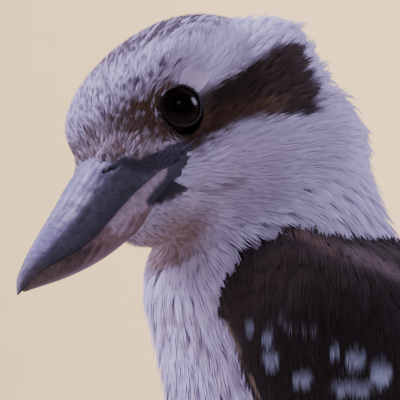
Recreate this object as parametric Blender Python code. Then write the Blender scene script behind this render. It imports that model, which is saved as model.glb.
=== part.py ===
"""Laughing kookaburra, a life-size still model standing on a flat floor.

The bird faces -X and its left side is towards -Y. Its lowered head turns
towards -Y. The constants are in millimetres, and place() turns them into the
scene's metres. Head sizes follow the head's own forward, left and up
directions, and start between the eyes at the level of the mouth. Body sizes
follow the world's axes and start at that same height, on the body's middle
plane.
"""

import math

import bmesh
import bpy
import numpy as np
from mathutils import Matrix, Vector

MM = 0.001
GAP = 0.3
HALF_GAP = GAP / 2

# Pose of the head, and the height of its origin over the floor
HEAD_YAW = math.radians(42)
HEAD_PITCH = math.radians(38)
HEAD_HEIGHT = 186 * MM
HEAD_SIDEWAYS = np.array([0.0, -20.0, 0.0])

# Head forms: centre forward, centre up, half length, half width, half height
CRANIUM = (-9.8, 22.0, 31.7, 25.4, 15.6)
BROW = (15.0, 8.4, 15.9, 15.8, 13.4)
CHEEKS = (-13.0, -4.0, 26.0, 19.0, 11.0)
CHIN = (21.0, -5.5, 14.0, 9.3, 4.1)
HIND_HEAD = (-40.6, 7.2, 22.0, 21.3, 15.4)
THROAT = (17.0, -9.0, 14.0, 10.0, 8.0)
HEAD_BLENDS = (8.0, 10.0, 6.0, 12.0, 6.0)

# Neck and trunk: back, up, radius of each round form, and how narrow the trunk is
NECK = (33.4, 1.9, 22.6)
TRUNK = ((29.0, -35.8, 36.7), (39.8, -63.4, 42.3), (64.1, -91.5, 42.1), (99.3, -110.4, 30.0), (143.0, -123.5, 12.5))
TRUNK_NARROWING = 1.20
NECK_NARROWING = 1.07
BODY_BLEND = 10.0
NECK_BLEND = 16.0

# Planes that part head from neck, neck from trunk and trunk from tail, by a point and the way down
HEAD_CENTRE = (-12.0, 0.0, 12.0)
HEAD_SECTORS = 22
HEAD_BANDS = 15
NECK_TOP = ((23.0, 0.0, -7.5), (0.52, 0.14, -0.84))
NECK_FOOT = ((30.0, 0.0, -33.0), (0.36, 0.0, -0.93))
TAIL_ROOT = ((141.0, 0.0, -123.0), (0.972, 0.0, -0.235))
BODY_SPINE = ((38.0, -47.0), (46.0, -62.0), (57.0, -77.0), (72.0, -92.0), (90.0, -104.0), (108.0, -113.0), (125.0, -119.0))
RING_POINTS = 28

# Bill: outlines as (forward, up) or (forward, half width)
CULMEN_LINE = ((-2.5, 2.5), (3, 3.6), (8, 6.8), (14, 9.4), (22, 12.6), (27, 16.4), (35, 15.3), (49, 11.2), (61, 7.7), (72, 3.8), (77, 1.2), (79.5, -1.4))
MOUTH_LINE = ((-2.5, 1.8), (4, 1.7), (12, 1.4), (22, 1.2), (30, 0.8), (38, -0.4), (46, -1.7), (54, -2.4), (62, -1.6), (70, -0.8), (76, -1.4), (79.5, -2.0))
LOWER_LINE = ((-2.5, -1.2), (10, -6.0), (22, -8.2), (33, -8.9), (44, -8.9), (53, -7.9), (62, -6.2), (71, -3.9), (76, -2.6))
BILL_HALF_WIDTH = ((-2.5, 14.2), (12, 13.4), (27, 11.8), (43, 9.0), (58, 6.1), (70, 3.5), (77, 1.7), (79.5, 0.6))
# How sharply the upper half turns from its sides to its ridge: boxy at the base, keeled ahead
RIDGE_SHARPNESS = ((-2.5, 0.62), (18, 0.62), (30, 1.0), (42, 1.2), (79.5, 1.2))
MOUTH_SLIT = 0.25
BILL_REAR = -2.5
UPPER_STATIONS = (-2.5, 4, 10, 16, 22, 27, 35, 44, 53, 61, 68, 74, 78, 79.5)
LOWER_STATIONS = (-2.5, 4, 10, 16, 22, 28, 34, 44, 53, 61, 68, 73, 75.8)
UPPER_ARC_POINTS = 11
LOWER_ARC_POINTS = 9
NOSTRIL = (29.0, 8.8, 10.3)
NOSTRIL_HALF_SIZES = (2.6, 1.1, 0.9)
NOSTRIL_SLANT = math.radians(24)

# Eyes and lids
EYE_RADIUS = 8.9
EYE_APEX = (1.0, 19.0, 12.2)
EYE_TURN = math.radians(16)
EYE_OPENING = 6.2
LID_RING = 6.9
LID_RADIUS = 1.15
LID_DISTANCE = 7.3

# Folded wing: its axis, the cone that it lies on behind, and its vanes
WING_START = (30.0, -45.0)
WING_SLOPE = math.radians(28)
WING_CONE = ((108.0, -90.0, 15.0), (196.0, -128.0, 4.5))
WING_CONE_WIDENING = 0.42
VANE_THICKNESS = 0.5
VANE_STEP = 0.82
TIER_STEP = 1.68
VANE_SHAPE = ((0.0, 0.8), (0.35, 1.0), (0.7, 1.0), (0.9, 0.8), (1.0, 0.3))
WING_KNOTS = (-48, -28, -8, 12, 32, 52, 72, 92, 112, 132, 152, 172, 192, 212)
SECONDARY_OVERLAP = ((-30, 0.96), (92, 0.96), (112, 1.3), (200, 1.35))
PRIMARY_OVERLAP = ((30, 0.96), (92, 0.96), (112, 1.2), (132, 1.25), (152, 2.2), (200, 2.4))
INNER_TIER_HEIGHT = 1.7
OUTER_TIER_RISE = 2.9
# Lines of feather shafts on the wing: along the axis, first line from the back's middle, spacing
SECONDARY_LINES = ((-30, 14, 7.2), (20, 14, 7.2), (50, 13, 6.5), (100, 8, 4.4), (135, 6, 2.8), (200, 5, 2.0))
PRIMARY_LINES = ((30, 38, 6.2), (60, 33, 5.8), (100, 20, 4.0), (132, 11, 2.6), (160, 6.5, 1.8), (200, 4.5, 1.4))
SECONDARY_TIPS = (126, 136, 138, 135, 131, 127, 122, 117, 112)
PRIMARY_TIPS = (150, 162, 173, 183, 191, 188)
GREATER_COVERT_TIPS = (88, 90, 90, 88, 86, 83, 80, 77, 74)
MEDIAN_COVERT_TIPS = (60, 62, 62, 60, 58, 56, 54, 51, 48)
# Height of the wing's solid front over the body, along the axis
SHOULDER_HEIGHTS = ((-20, 1.2), (-14, 3.6), (-4, 6.8), (8, 8.6), (16, 8.8), (24, 8.0), (36, 6.9), (46, 6.0), (54, 5.2), (61, 3.4), (68, 2.4))
SHOULDER_TOP = ((-20, 72), (-14, 62), (-8, 52), (0, 41), (8, 31), (20, 17), (36, 11), (68, 8))
SHOULDER_LOW_EDGE = ((-20, 79), (-14, 85), (-8, 88), (6, 88), (20, 86), (40, 79), (68, 67))

# Tail
TAIL_LENGTH = 155.0
TAIL_SLOPE = math.radians(13.6)
RECTRIX_PAIRS = 6
RECTRIX_HALF_WIDTH = 10.5
RECTRIX_SPREAD = (1.0, 3.0)
TAIL_CAMBER = 1.6

# Legs, by back, side and height over the floor
HIP = (77.0, 15.0, 72.0)
KNEE = (64.0, 21.0, 50.0)
ANKLE = (70.0, 23.5, 30.0)
THIGH_RADII = (13.0, 14.0, 12.0, 8.4, 5.8, 4.8)
FOOT = (60.0, 25.0, 4.0)
TARSUS_RADII = (3.3, 3.1, 2.6, 2.6, 3.0)
TOE_RADIUS = 2.5
SOLE_CUT = 0.5
CLAW_RADIUS = 1.6
CLAW_ARCH = 1.5
CLAW_DROP = 1.35
# Toes: direction from straight ahead (outwards positive), length, and length of the claw
TOES = ((math.radians(-24), 15.0, 6.5), (math.radians(2), 25.0, 8.0), (math.radians(20), 22.0, 7.0), (math.radians(172), 13.0, 7.5))

COLOURS = {
    "white_plumage": (0.72, 0.66, 0.68, 1.0),
    "brown_plumage": (0.035, 0.022, 0.017, 1.0),
    "rufous_plumage": (0.25, 0.10, 0.045, 1.0),
    "slate_horn": (0.03, 0.03, 0.04, 1.0),
    "pale_horn": (0.32, 0.19, 0.18, 1.0),
    "dark_eye": (0.01, 0.006, 0.005, 1.0),
    "foot_skin": (0.16, 0.14, 0.11, 1.0),
}


def interpolate(line, x):
    """Height of an outline at x, with smooth slopes between its points."""
    xs = np.array([p[0] for p in line], float)
    ys = np.array([p[1] for p in line], float)
    slopes = np.gradient(ys, xs)
    x = np.clip(x, xs[0], xs[-1])
    i = np.clip(np.searchsorted(xs, x, side="right") - 1, 0, len(xs) - 2)
    span = xs[i + 1] - xs[i]
    u = (x - xs[i]) / span
    return (
        (1 + 2 * u) * (1 - u) ** 2 * ys[i]
        + u * (1 - u) ** 2 * span * slopes[i]
        + u * u * (3 - 2 * u) * ys[i + 1]
        + u * u * (u - 1) * span * slopes[i + 1]
    )


def head_axes():
    """The head's forward, left and up directions as rows."""
    cy, sy = math.cos(HEAD_YAW), math.sin(HEAD_YAW)
    cp, sp = math.cos(HEAD_PITCH), math.sin(HEAD_PITCH)
    return np.array([(-cy * cp, -sy, -cy * sp), (sy * cp, -cy, sy * sp), (-sp, 0.0, cp)])


HEAD_AXES = head_axes()


def from_head(point):
    return np.asarray(point, float) @ HEAD_AXES + HEAD_SIDEWAYS


def to_head(points):
    return (points - HEAD_SIDEWAYS) @ HEAD_AXES.T


def ellipsoid(points, centre, half_sizes):
    q = (points - centre) / half_sizes
    k0 = np.linalg.norm(q, axis=-1)
    k1 = np.linalg.norm(q / half_sizes, axis=-1)
    return k0 * (k0 - 1) / np.maximum(k1, 1e-9)


def round_cone(points, a, b):
    """Distance to a cone with round ends; a and b are (back, up, radius)."""
    start = np.array([a[0], 0.0, a[1]])
    along = np.array([b[0], 0.0, b[1]]) - start
    t = np.clip(((points - start) @ along) / (along @ along), 0, 1)
    return np.linalg.norm(points - start - t[..., None] * along, axis=-1) - (a[2] + (b[2] - a[2]) * t)


def blend(a, b, width):
    h = np.maximum(width - np.abs(a - b), 0) / width
    return np.minimum(a, b) - h * h * width / 4


def trunk(points):
    q = points * np.array([1, TRUNK_NARROWING, 1])
    d = round_cone(q, TRUNK[0], TRUNK[1])
    for a, b in zip(TRUNK[1:], TRUNK[2:]):
        d = blend(d, round_cone(q, a, b), BODY_BLEND)
    return d


def neck_and_trunk(points):
    neck = round_cone(points * np.array([1, NECK_NARROWING, 1]), NECK, TRUNK[0])
    return blend(neck, trunk(points), BODY_BLEND)


def flesh(points):
    """Distance from the plumage's outer surface, without bill, wings, tail and legs."""
    local = to_head(points)
    d = None
    for form, width in zip((CRANIUM, BROW, CHEEKS, CHIN, HIND_HEAD, THROAT), (0.0,) + HEAD_BLENDS):
        centre = np.array([form[0], 0.0, form[1]])
        e = ellipsoid(local, centre, np.array(form[2:]))
        d = e if d is None else blend(d, e, width)
    return blend(d, neck_and_trunk(points), NECK_BLEND)


def saddle(points):
    """The form that the folded wings lie on: the trunk, drawn out over the tail."""
    q = points * np.array([1, WING_CONE_WIDENING, 1])
    return blend(neck_and_trunk(points), round_cone(q, *WING_CONE), 8.0)


def reach(field, origin, direction, level=0.0, furthest=120.0):
    """Distance from a point inside to the surface, along each direction."""
    direction = np.atleast_2d(direction)
    steps = np.arange(0.5, furthest, 1.0)
    samples = origin + steps[None, :, None] * direction[:, None, :]
    outside = field(samples) > level
    first = np.argmax(outside, axis=1)
    low = steps[np.maximum(first - 1, 0)] * (first > 0)
    high = steps[first]
    for _ in range(24):
        middle = (low + high) / 2
        out = field(origin + middle[:, None] * direction) > level
        high = np.where(out, middle, high)
        low = np.where(out, low, middle)
    return (low + high) / 2


def unit(v):
    v = np.asarray(v, float)
    return v / np.linalg.norm(v)


def ring(centre, normal, level=0.0, count=RING_POINTS):
    """Points of the body's outline in the plane through a centre, counted from its left side."""
    normal = unit(normal)
    up = unit(np.cross(normal, (0.0, 1.0, 0.0)))
    side = np.cross(normal, up)
    angles = 2 * math.pi * (np.arange(count) + 0.5) / count
    directions = np.cos(angles)[:, None] * side + np.sin(angles)[:, None] * up
    centre = np.asarray(centre, float)
    for _ in range(3):
        for axis in (side, up):
            before, behind = reach(flesh, centre, np.array([axis, -axis]))
            centre = centre + axis * (before - behind) / 2
    return centre + reach(flesh, centre, directions, level)[:, None] * directions


def between(first, last, count):
    """Planes from one to another, both left out."""
    steps = [(k + 1) / (count + 1) for k in range(count)]
    a, b = np.array(first[0]), np.array(last[0])
    n, m = np.array(first[1]), np.array(last[1])
    return [(a + (b - a) * u, n + (m - n) * u) for u in steps]


def shifted(plane, distance):
    return (np.array(plane[0]) + distance * unit(plane[1]), plane[1])


def neck_rings():
    top, foot = shifted(NECK_TOP, HALF_GAP), shifted(NECK_FOOT, -HALF_GAP)
    return [ring(*plane) for plane in [top] + between(top, foot, 3) + [foot]]


def trunk_rings(level=0.0):
    start, end = shifted(NECK_FOOT, HALF_GAP), shifted(TAIL_ROOT, -HALF_GAP)
    planes = [start]
    for k, (back, up) in enumerate(BODY_SPINE):
        u = (k + 1) / (len(BODY_SPINE) + 1)
        normal = np.array(start[1]) * (1 - u) + np.array(end[1]) * u
        planes.append((np.array([back, 0.0, up]), normal))
    planes.append(end)
    return [ring(*plane, level) for plane in planes]


def place(points):
    """World position, in metres, of points given in millimetres from the head's origin."""
    return np.asarray(points, float) * MM + np.array([0.0, 0.0, HEAD_HEIGHT])


def material(name, roughness):
    found = bpy.data.materials.get(name)
    if found:
        return found
    made = bpy.data.materials.new(name)
    made.use_nodes = True
    shader = made.node_tree.nodes["Principled BSDF"]
    shader.inputs["Base Color"].default_value = COLOURS[name]
    shader.inputs["Roughness"].default_value = roughness
    shader.inputs["Metallic"].default_value = 0.0
    return made


def make_object(name, vertices, faces, collection):
    mesh = bpy.data.meshes.new(name)
    mesh.from_pydata([tuple(v) for v in vertices], [], faces)
    mesh.update()
    tidy = bmesh.new()
    tidy.from_mesh(mesh)
    bmesh.ops.recalc_face_normals(tidy, faces=tidy.faces)
    if tidy.calc_volume(signed=True) < 0:
        bmesh.ops.reverse_faces(tidy, faces=tidy.faces)
    tidy.to_mesh(mesh)
    tidy.free()
    obj = bpy.data.objects.new(name, mesh)
    collection.objects.link(obj)
    return obj


def loft(name, rings, collection):
    """Closed body through rings of equally many points, with flat ends."""
    count = len(rings[0])
    faces = [tuple(range(count)), tuple(range((len(rings) - 1) * count, len(rings) * count))]
    for r in range(len(rings) - 1):
        for i in range(count):
            j = (i + 1) % count
            faces.append((r * count + i, r * count + j, (r + 1) * count + j, (r + 1) * count + i))
    return make_object(name, place(np.concatenate(rings)), faces, collection)


def settle(obj):
    """Takes the object's modifiers into its mesh."""
    graph = bpy.context.evaluated_depsgraph_get()
    mesh = bpy.data.meshes.new_from_object(obj.evaluated_get(graph))
    obj.modifiers.clear()
    old = obj.data
    obj.data = mesh
    bpy.data.meshes.remove(old)


def remove(obj):
    bpy.data.objects.remove(obj)


def keep_largest(obj):
    """Keeps only the largest closed surface."""
    mesh = bmesh.new()
    mesh.from_mesh(obj.data)
    bmesh.ops.triangulate(mesh, faces=mesh.faces)
    left = set(mesh.faces)
    shells = []
    while left:
        shell, front = set(), [left.pop()]
        while front:
            face = front.pop()
            shell.add(face)
            for edge in face.edges:
                for other in edge.link_faces:
                    if other in left:
                        left.remove(other)
                        front.append(other)
        shells.append(shell)
    sizes = []
    for shell in shells:
        low = np.min([v.co for f in shell for v in f.verts], axis=0)
        high = np.max([v.co for f in shell for v in f.verts], axis=0)
        sizes.append(np.linalg.norm(high - low))
    largest = shells[int(np.argmax(sizes))]
    scraps = [face for face in mesh.faces if face not in largest]
    bmesh.ops.delete(mesh, geom=scraps, context="FACES")
    mesh.to_mesh(obj.data)
    mesh.free()


def combine(obj, others, operation, solver="EXACT"):
    """Joins or cuts an object with a list of others, which are then removed."""
    helpers = bpy.data.collections.new("helpers")
    bpy.context.scene.collection.children.link(helpers)
    for other in others:
        for holder in list(other.users_collection):
            holder.objects.unlink(other)
        helpers.objects.link(other)
    cut = obj.modifiers.new("shape", "BOOLEAN")
    cut.operation = operation
    cut.operand_type = "COLLECTION"
    cut.collection = helpers
    cut.solver = solver
    settle(obj)
    for other in list(helpers.objects):
        remove(other)
    bpy.data.collections.remove(helpers)
    keep_largest(obj)


def block_beyond(plane, collection):
    """A large block whose one face lies in the plane, on the side that its direction points to."""
    size = 300 * MM
    mesh = bpy.data.meshes.new("block")
    cube = bmesh.new()
    bmesh.ops.create_cube(cube, size=size)
    normal = Vector(unit(plane[1]))
    turn = normal.to_track_quat("Z", "Y").to_matrix().to_4x4()
    middle = Vector(place(plane[0])) + normal * size / 2
    bmesh.ops.transform(cube, matrix=Matrix.Translation(middle) @ turn, verts=cube.verts)
    cube.to_mesh(mesh)
    cube.free()
    obj = bpy.data.objects.new("block", mesh)
    collection.objects.link(obj)
    return obj


def round_piece(name, centre, axes, half_sizes, sectors, bands, collection):
    """Ellipsoid with its poles on the third axis; centre and axes in millimetre space."""
    mesh = bpy.data.meshes.new(name)
    ball = bmesh.new()
    bmesh.ops.create_uvsphere(ball, u_segments=sectors, v_segments=bands, radius=MM)
    frame = Matrix([axes[0] * half_sizes[0], axes[1] * half_sizes[1], axes[2] * half_sizes[2]]).transposed()
    matrix = Matrix.Translation(Vector(place(centre))) @ frame.to_4x4()
    bmesh.ops.transform(ball, matrix=matrix, verts=ball.verts)
    bmesh.ops.recalc_face_normals(ball, faces=ball.faces)
    ball.to_mesh(mesh)
    ball.free()
    obj = bpy.data.objects.new(name, mesh)
    collection.objects.link(obj)
    return obj


def tube(name, points, radii, collection, sides_resolution=1):
    """Round bar along points in millimetre space, as a curve made into a mesh."""
    data = bpy.data.curves.new("path", "CURVE")
    data.dimensions = "3D"
    data.bevel_depth = MM
    data.bevel_resolution = sides_resolution
    data.use_fill_caps = True
    spline = data.splines.new("POLY")
    spline.points.add(len(points) - 1)
    for point, where, radius in zip(spline.points, place(points), radii):
        point.co = (*where, 1.0)
        point.radius = radius
    curve = bpy.data.objects.new("path", data)
    collection.objects.link(curve)
    bpy.context.view_layer.update()
    graph = bpy.context.evaluated_depsgraph_get()
    mesh = bpy.data.meshes.new_from_object(curve.evaluated_get(graph))
    weld = bmesh.new()
    weld.from_mesh(mesh)
    bmesh.ops.remove_doubles(weld, verts=weld.verts, dist=0.01 * MM)
    bmesh.ops.recalc_face_normals(weld, faces=weld.faces)
    weld.to_mesh(mesh)
    weld.free()
    obj = bpy.data.objects.new(name, mesh)
    obj.matrix_world = curve.matrix_world
    remove(curve)
    bpy.data.curves.remove(data)
    collection.objects.link(obj)
    return obj


def sheet(name, grid, normals, thickness, collection):
    """Thin closed vane over a grid of points, split into triangles alike on both faces."""
    rows, columns = grid.shape[:2]
    top = grid + normals * thickness[..., None] / 2
    bottom = grid - normals * thickness[..., None] / 2
    vertices = np.concatenate([top.reshape(-1, 3), bottom.reshape(-1, 3)])
    under = rows * columns
    faces = []
    for r in range(rows - 1):
        for c in range(columns - 1):
            a, b = r * columns + c, r * columns + c + 1
            d, e = a + columns, b + columns
            pair = ((a, b, e), (a, e, d)) if c < (columns - 1) / 2 else ((a, b, d), (b, e, d))
            for face in pair:
                faces.append(face)
                faces.append(tuple(i + under for i in reversed(face)))
    rim = [c for c in range(columns)]
    rim += [r * columns + columns - 1 for r in range(1, rows)]
    rim += [(rows - 1) * columns + c for c in range(columns - 2, -1, -1)]
    rim += [r * columns for r in range(rows - 2, 0, -1)]
    for i, a in enumerate(rim):
        b = rim[(i + 1) % len(rim)]
        faces.append((a, b, b + under))
        faces.append((a, b + under, a + under))
    return make_object(name, place(vertices), faces, collection)


def bill_section(forward, low_side, high, low, grow):
    """Cross-section of the whole bill or of one half, as points over the left, top, right and below."""
    width = float(interpolate(BILL_HALF_WIDTH, forward)) + grow
    middle = float(interpolate(MOUTH_LINE, forward))
    points = []
    if high is not None:
        height = high - middle - low_side
        sharp = float(interpolate(RIDGE_SHARPNESS, forward))
        for t in np.linspace(0, math.pi, UPPER_ARC_POINTS):
            side = math.copysign(abs(math.cos(t)) ** sharp, math.cos(t))
            up = middle + low_side + grow + max(height, 0.3) * abs(math.sin(t)) ** sharp
            points.append((forward, width * side, up))
    if low is not None:
        depth = middle - low_side - low + grow
        angles = np.linspace(math.pi, 2 * math.pi, LOWER_ARC_POINTS)
        if high is not None:
            angles = angles[1:-1]
        for t in angles:
            side = math.copysign(abs(math.cos(t)) ** 0.8, math.cos(t))
            narrow = 1.0 if high is not None else 0.97
            points.append((forward, width * narrow * side, middle - low_side - max(depth, 0.3) * abs(math.sin(t))))
    return from_head(np.array(points))


def bill(collection):
    upper = loft("upper_mandible", [
        bill_section(f, MOUTH_SLIT, float(interpolate(CULMEN_LINE, f)), None, 0.0) for f in UPPER_STATIONS
    ], collection)
    lower = loft("lower_mandible", [
        bill_section(f, MOUTH_SLIT, None, float(interpolate(LOWER_LINE, f)), 0.0) for f in LOWER_STATIONS
    ], collection)
    nostrils = []
    c, s = math.cos(NOSTRIL_SLANT), math.sin(NOSTRIL_SLANT)
    slit = [c * HEAD_AXES[0] + s * HEAD_AXES[2], HEAD_AXES[1], c * HEAD_AXES[2] - s * HEAD_AXES[0]]
    for hand in (1, -1):
        centre = from_head((NOSTRIL[0], hand * NOSTRIL[1], NOSTRIL[2]))
        nostrils.append(round_piece("nostril", centre, [Vector(a) for a in slit], NOSTRIL_HALF_SIZES, 8, 6, collection))
    combine(upper, nostrils, "DIFFERENCE")
    upper.data.materials.append(material("slate_horn", 0.35))
    lower.data.materials.append(material("pale_horn", 0.4))
    return upper, lower


def bill_pocket(collection):
    """The bill's root, larger by the gap, that the head is hollowed for."""
    stations = [BILL_REAR - GAP, 4, 10, 16, 22, 27, 35, 44]
    rings = []
    for f in stations:
        high = float(interpolate(CULMEN_LINE, f))
        low = float(interpolate(LOWER_LINE, f))
        rings.append(bill_section(f, 0.0, high, low, GAP))
    return loft("pocket", rings, collection)


def eye_axes(hand):
    """Directions of an eye: two across it and one out of it."""
    out = np.array([math.sin(EYE_TURN), hand * math.cos(EYE_TURN), 0.0]) @ HEAD_AXES
    up = HEAD_AXES[2]
    return [Vector(np.cross(up, out)), Vector(up), Vector(out)]


def eye_centre(hand):
    axes = eye_axes(hand)
    apex = from_head((EYE_APEX[0], hand * EYE_APEX[1], EYE_APEX[2]))
    return apex - EYE_RADIUS * np.array(axes[2])


def lid(hand, collection):
    """Round rim of the eyelids, as a ring around the eye's opening."""
    axes = [np.array(a) for a in eye_axes(hand)]
    middle = eye_centre(hand) + LID_DISTANCE * axes[2]
    rings = []
    around = 16
    across = 6
    faces = []
    for i in range(around):
        a = 2 * math.pi * i / around
        outward = math.cos(a) * axes[0] + math.sin(a) * axes[1]
        for j in range(across):
            b = 2 * math.pi * j / across
            rings.append(middle + outward * (LID_RING + LID_RADIUS * math.cos(b)) + axes[2] * LID_RADIUS * math.sin(b))
            k, m = (i + 1) % around, (j + 1) % across
            faces.append((i * across + j, k * across + j, k * across + m, i * across + m))
    return make_object("lid", place(np.array(rings)), faces, collection)


def eye_opening(hand, collection):
    """Bar that opens the head over the eye."""
    axes = [np.array(a) for a in eye_axes(hand)]
    start = eye_centre(hand) + 4.5 * axes[2]
    return tube("opening", np.array([start, start + 9.0 * axes[2]]), [EYE_OPENING] * 2, collection, 2)


def round_head(name, level, collection):
    """The head's plumage, drawn from its middle outwards."""
    centre = from_head(HEAD_CENTRE)
    around = 2 * math.pi * np.arange(HEAD_SECTORS) / HEAD_SECTORS
    rows = []
    for band in range(1, HEAD_BANDS):
        polar = math.pi * band / HEAD_BANDS
        forward = np.full(HEAD_SECTORS, math.cos(polar))
        local = np.stack([forward, math.sin(polar) * np.cos(around), math.sin(polar) * np.sin(around)], 1)
        directions = local @ HEAD_AXES
        distance = np.minimum(reach(flesh, centre, directions, level), 66.0)
        rows.append(centre + distance[:, None] * directions)
    return loft(name, rows, collection)


def head(collection):
    """Head with lids, eye openings and the bill's seat."""
    obj = round_head("head", 0.0, collection)
    combine(obj, [lid(1, collection), lid(-1, collection)], "UNION")
    cutters = [block_beyond(shifted(NECK_TOP, -HALF_GAP), collection), bill_pocket(collection)]
    for hand in (1, -1):
        axes = eye_axes(hand)
        cutters.append(round_piece("socket", eye_centre(hand), axes, [EYE_RADIUS + GAP] * 3, 18, 12, collection))
        cutters.append(eye_opening(hand, collection))
    for cutter in cutters:
        combine(obj, [cutter], "DIFFERENCE")
    obj.data.materials.append(material("white_plumage", 0.9))
    return obj


def eyes(collection):
    for name, hand in (("eye_left", 1), ("eye_right", -1)):
        ball = round_piece(name, eye_centre(hand), eye_axes(hand), [EYE_RADIUS] * 3, 18, 12, collection)
        ball.data.materials.append(material("dark_eye", 0.05))


class WingSurface:
    """Places over the left side of the body: along the wing's axis, and down from the back's middle."""

    def __init__(self):
        self.axis = np.array([math.cos(WING_SLOPE), 0.0, -math.sin(WING_SLOPE)])
        self.up = np.array([math.sin(WING_SLOPE), 0.0, math.cos(WING_SLOPE)])
        self.left = np.array([0.0, -1.0, 0.0])
        self.along = np.array(WING_KNOTS, float)
        start = np.array([WING_START[0], 0.0, WING_START[1]])
        angles = np.radians(np.linspace(90, -80, 64))
        directions = np.cos(angles)[:, None] * self.left + np.sin(angles)[:, None] * self.up
        self.rows = []
        self.lengths = []
        for s in self.along:
            origin = start + s * self.axis
            points = origin + reach(saddle, origin, directions)[:, None] * directions
            steps = np.linalg.norm(np.diff(points, axis=0), axis=1)
            self.rows.append(points)
            self.lengths.append(np.concatenate([[0.0], np.cumsum(steps)]))

    def on_row(self, k, down):
        return np.stack([np.interp(down, self.lengths[k], self.rows[k][:, c]) for c in range(3)], -1)

    def point(self, s, down):
        k = int(np.clip(np.searchsorted(self.along, s, side="right") - 1, 0, len(self.along) - 2))
        u = (s - self.along[k]) / (self.along[k + 1] - self.along[k])
        return (1 - u) * self.on_row(k, down) + u * self.on_row(k + 1, down)

    def normal(self, s, down):
        a = self.point(s + 8.0, down) - self.point(s - 8.0, down)
        b = self.point(s, down + 2.0) - self.point(s, down - 2.0 if down > 2.0 else 0.0)
        n = np.cross(b, a)
        return n / np.linalg.norm(n)


def lines_at(lines, s):
    first = float(interpolate([(l[0], l[1]) for l in lines], s))
    spacing = float(interpolate([(l[0], l[2]) for l in lines], s))
    return first, spacing


def smooth_step(x, low, high):
    u = min(max((x - low) / (high - low), 0.0), 1.0)
    return u * u * (3 - 2 * u)


def wing_vane(surface, lines, overlap, number, root, tip, half_width, base_height, collection):
    """One vane of a folded wing, tucked under the next one nearer to the back."""
    rows = [root] + [k for k in WING_KNOTS if root < k < tip - 9.0] + [tip - 5.0, tip]
    grid = np.zeros((len(rows), 3, 3))
    normals = np.zeros_like(grid)
    thickness = np.full((len(rows), 3), VANE_THICKNESS)
    for r, s in enumerate(rows):
        first, spacing = lines_at(lines, s)
        line = first + number * spacing
        wide = min(half_width, spacing * float(interpolate(overlap, s)))
        wide *= float(interpolate(VANE_SHAPE, (s - root) / (tip - root)))
        for c, side in enumerate((-1, 0, 1)):
            down = max(line + side * wide, 0.6)
            row = s - 2.0 if side and s == tip else s
            index = (down - first) / spacing
            height = base_height(s, index) + VANE_STEP * (index - number)
            n = surface.normal(row, down)
            grid[r, c] = surface.point(row, down) + n * height
            normals[r, c] = n
    return sheet("vane", grid, normals, thickness, collection)


def shoulder(surface, collection):
    """The wing's solid front, which carries the roots of its vanes."""
    stations = [-20, -15, -9, -2, 7, 18, 32, 46, 58, 68]
    shares = np.linspace(0, 1, 9)
    bulge = (0.0, 0.62, 0.9, 1.0, 1.0, 1.0, 0.9, 0.6, 0.0)
    rings = []
    for s in stations:
        top = float(interpolate(SHOULDER_TOP, s))
        low = float(interpolate(SHOULDER_LOW_EDGE, s))
        height = float(interpolate(SHOULDER_HEIGHTS, s))
        outer = []
        inner = []
        for share, rise in zip(shares, bulge):
            down = top + (low - top) * share
            point, n = surface.point(s, down), surface.normal(s, down)
            outer.append(point + n * (0.9 + max(height - 0.9, 0.1) * rise))
            inner.append(point + n * GAP)
        rings.append(np.array(outer + inner[::-1]))
    return loft("shoulder", rings, collection)


def wing(name, mirrored, surface, inflated, collection):
    obj = shoulder(surface, collection)
    obj.name = name

    def inner(s, index):
        return INNER_TIER_HEIGHT

    def outer(s, index):
        return INNER_TIER_HEIGHT + OUTER_TIER_RISE * smooth_step(index, 0.2, 2.2)

    def second(s, index):
        return outer(s, index) + TIER_STEP

    def third(s, index):
        return outer(s, index) + 2 * TIER_STEP

    vanes = []
    for number, tip in enumerate(PRIMARY_TIPS):
        vanes.append(wing_vane(surface, PRIMARY_LINES, PRIMARY_OVERLAP, number, 52, tip, 6.0, inner, collection))
    for number, tip in enumerate(SECONDARY_TIPS):
        vanes.append(wing_vane(surface, SECONDARY_LINES, SECONDARY_OVERLAP, number, 52, tip, 6.2, outer, collection))
    for number, tip in enumerate(GREATER_COVERT_TIPS):
        vanes.append(wing_vane(surface, SECONDARY_LINES, SECONDARY_OVERLAP, number, 32, tip, 6.2, second, collection))
    for number, tip in enumerate(MEDIAN_COVERT_TIPS):
        vanes.append(wing_vane(surface, SECONDARY_LINES, SECONDARY_OVERLAP, number, 12, tip, 6.5, third, collection))
    combine(obj, vanes, "UNION", "MANIFOLD")
    if mirrored:
        flip = bmesh.new()
        flip.from_mesh(obj.data)
        bmesh.ops.transform(flip, matrix=Matrix.Scale(-1, 4, (0, 1, 0)), verts=flip.verts)
        bmesh.ops.reverse_faces(flip, faces=flip.faces)
        flip.to_mesh(obj.data)
        flip.free()
    for form in inflated:
        combine(obj, [form], "DIFFERENCE", "MANIFOLD")
    obj.data.materials.append(material("brown_plumage", 0.8))
    return obj


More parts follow.
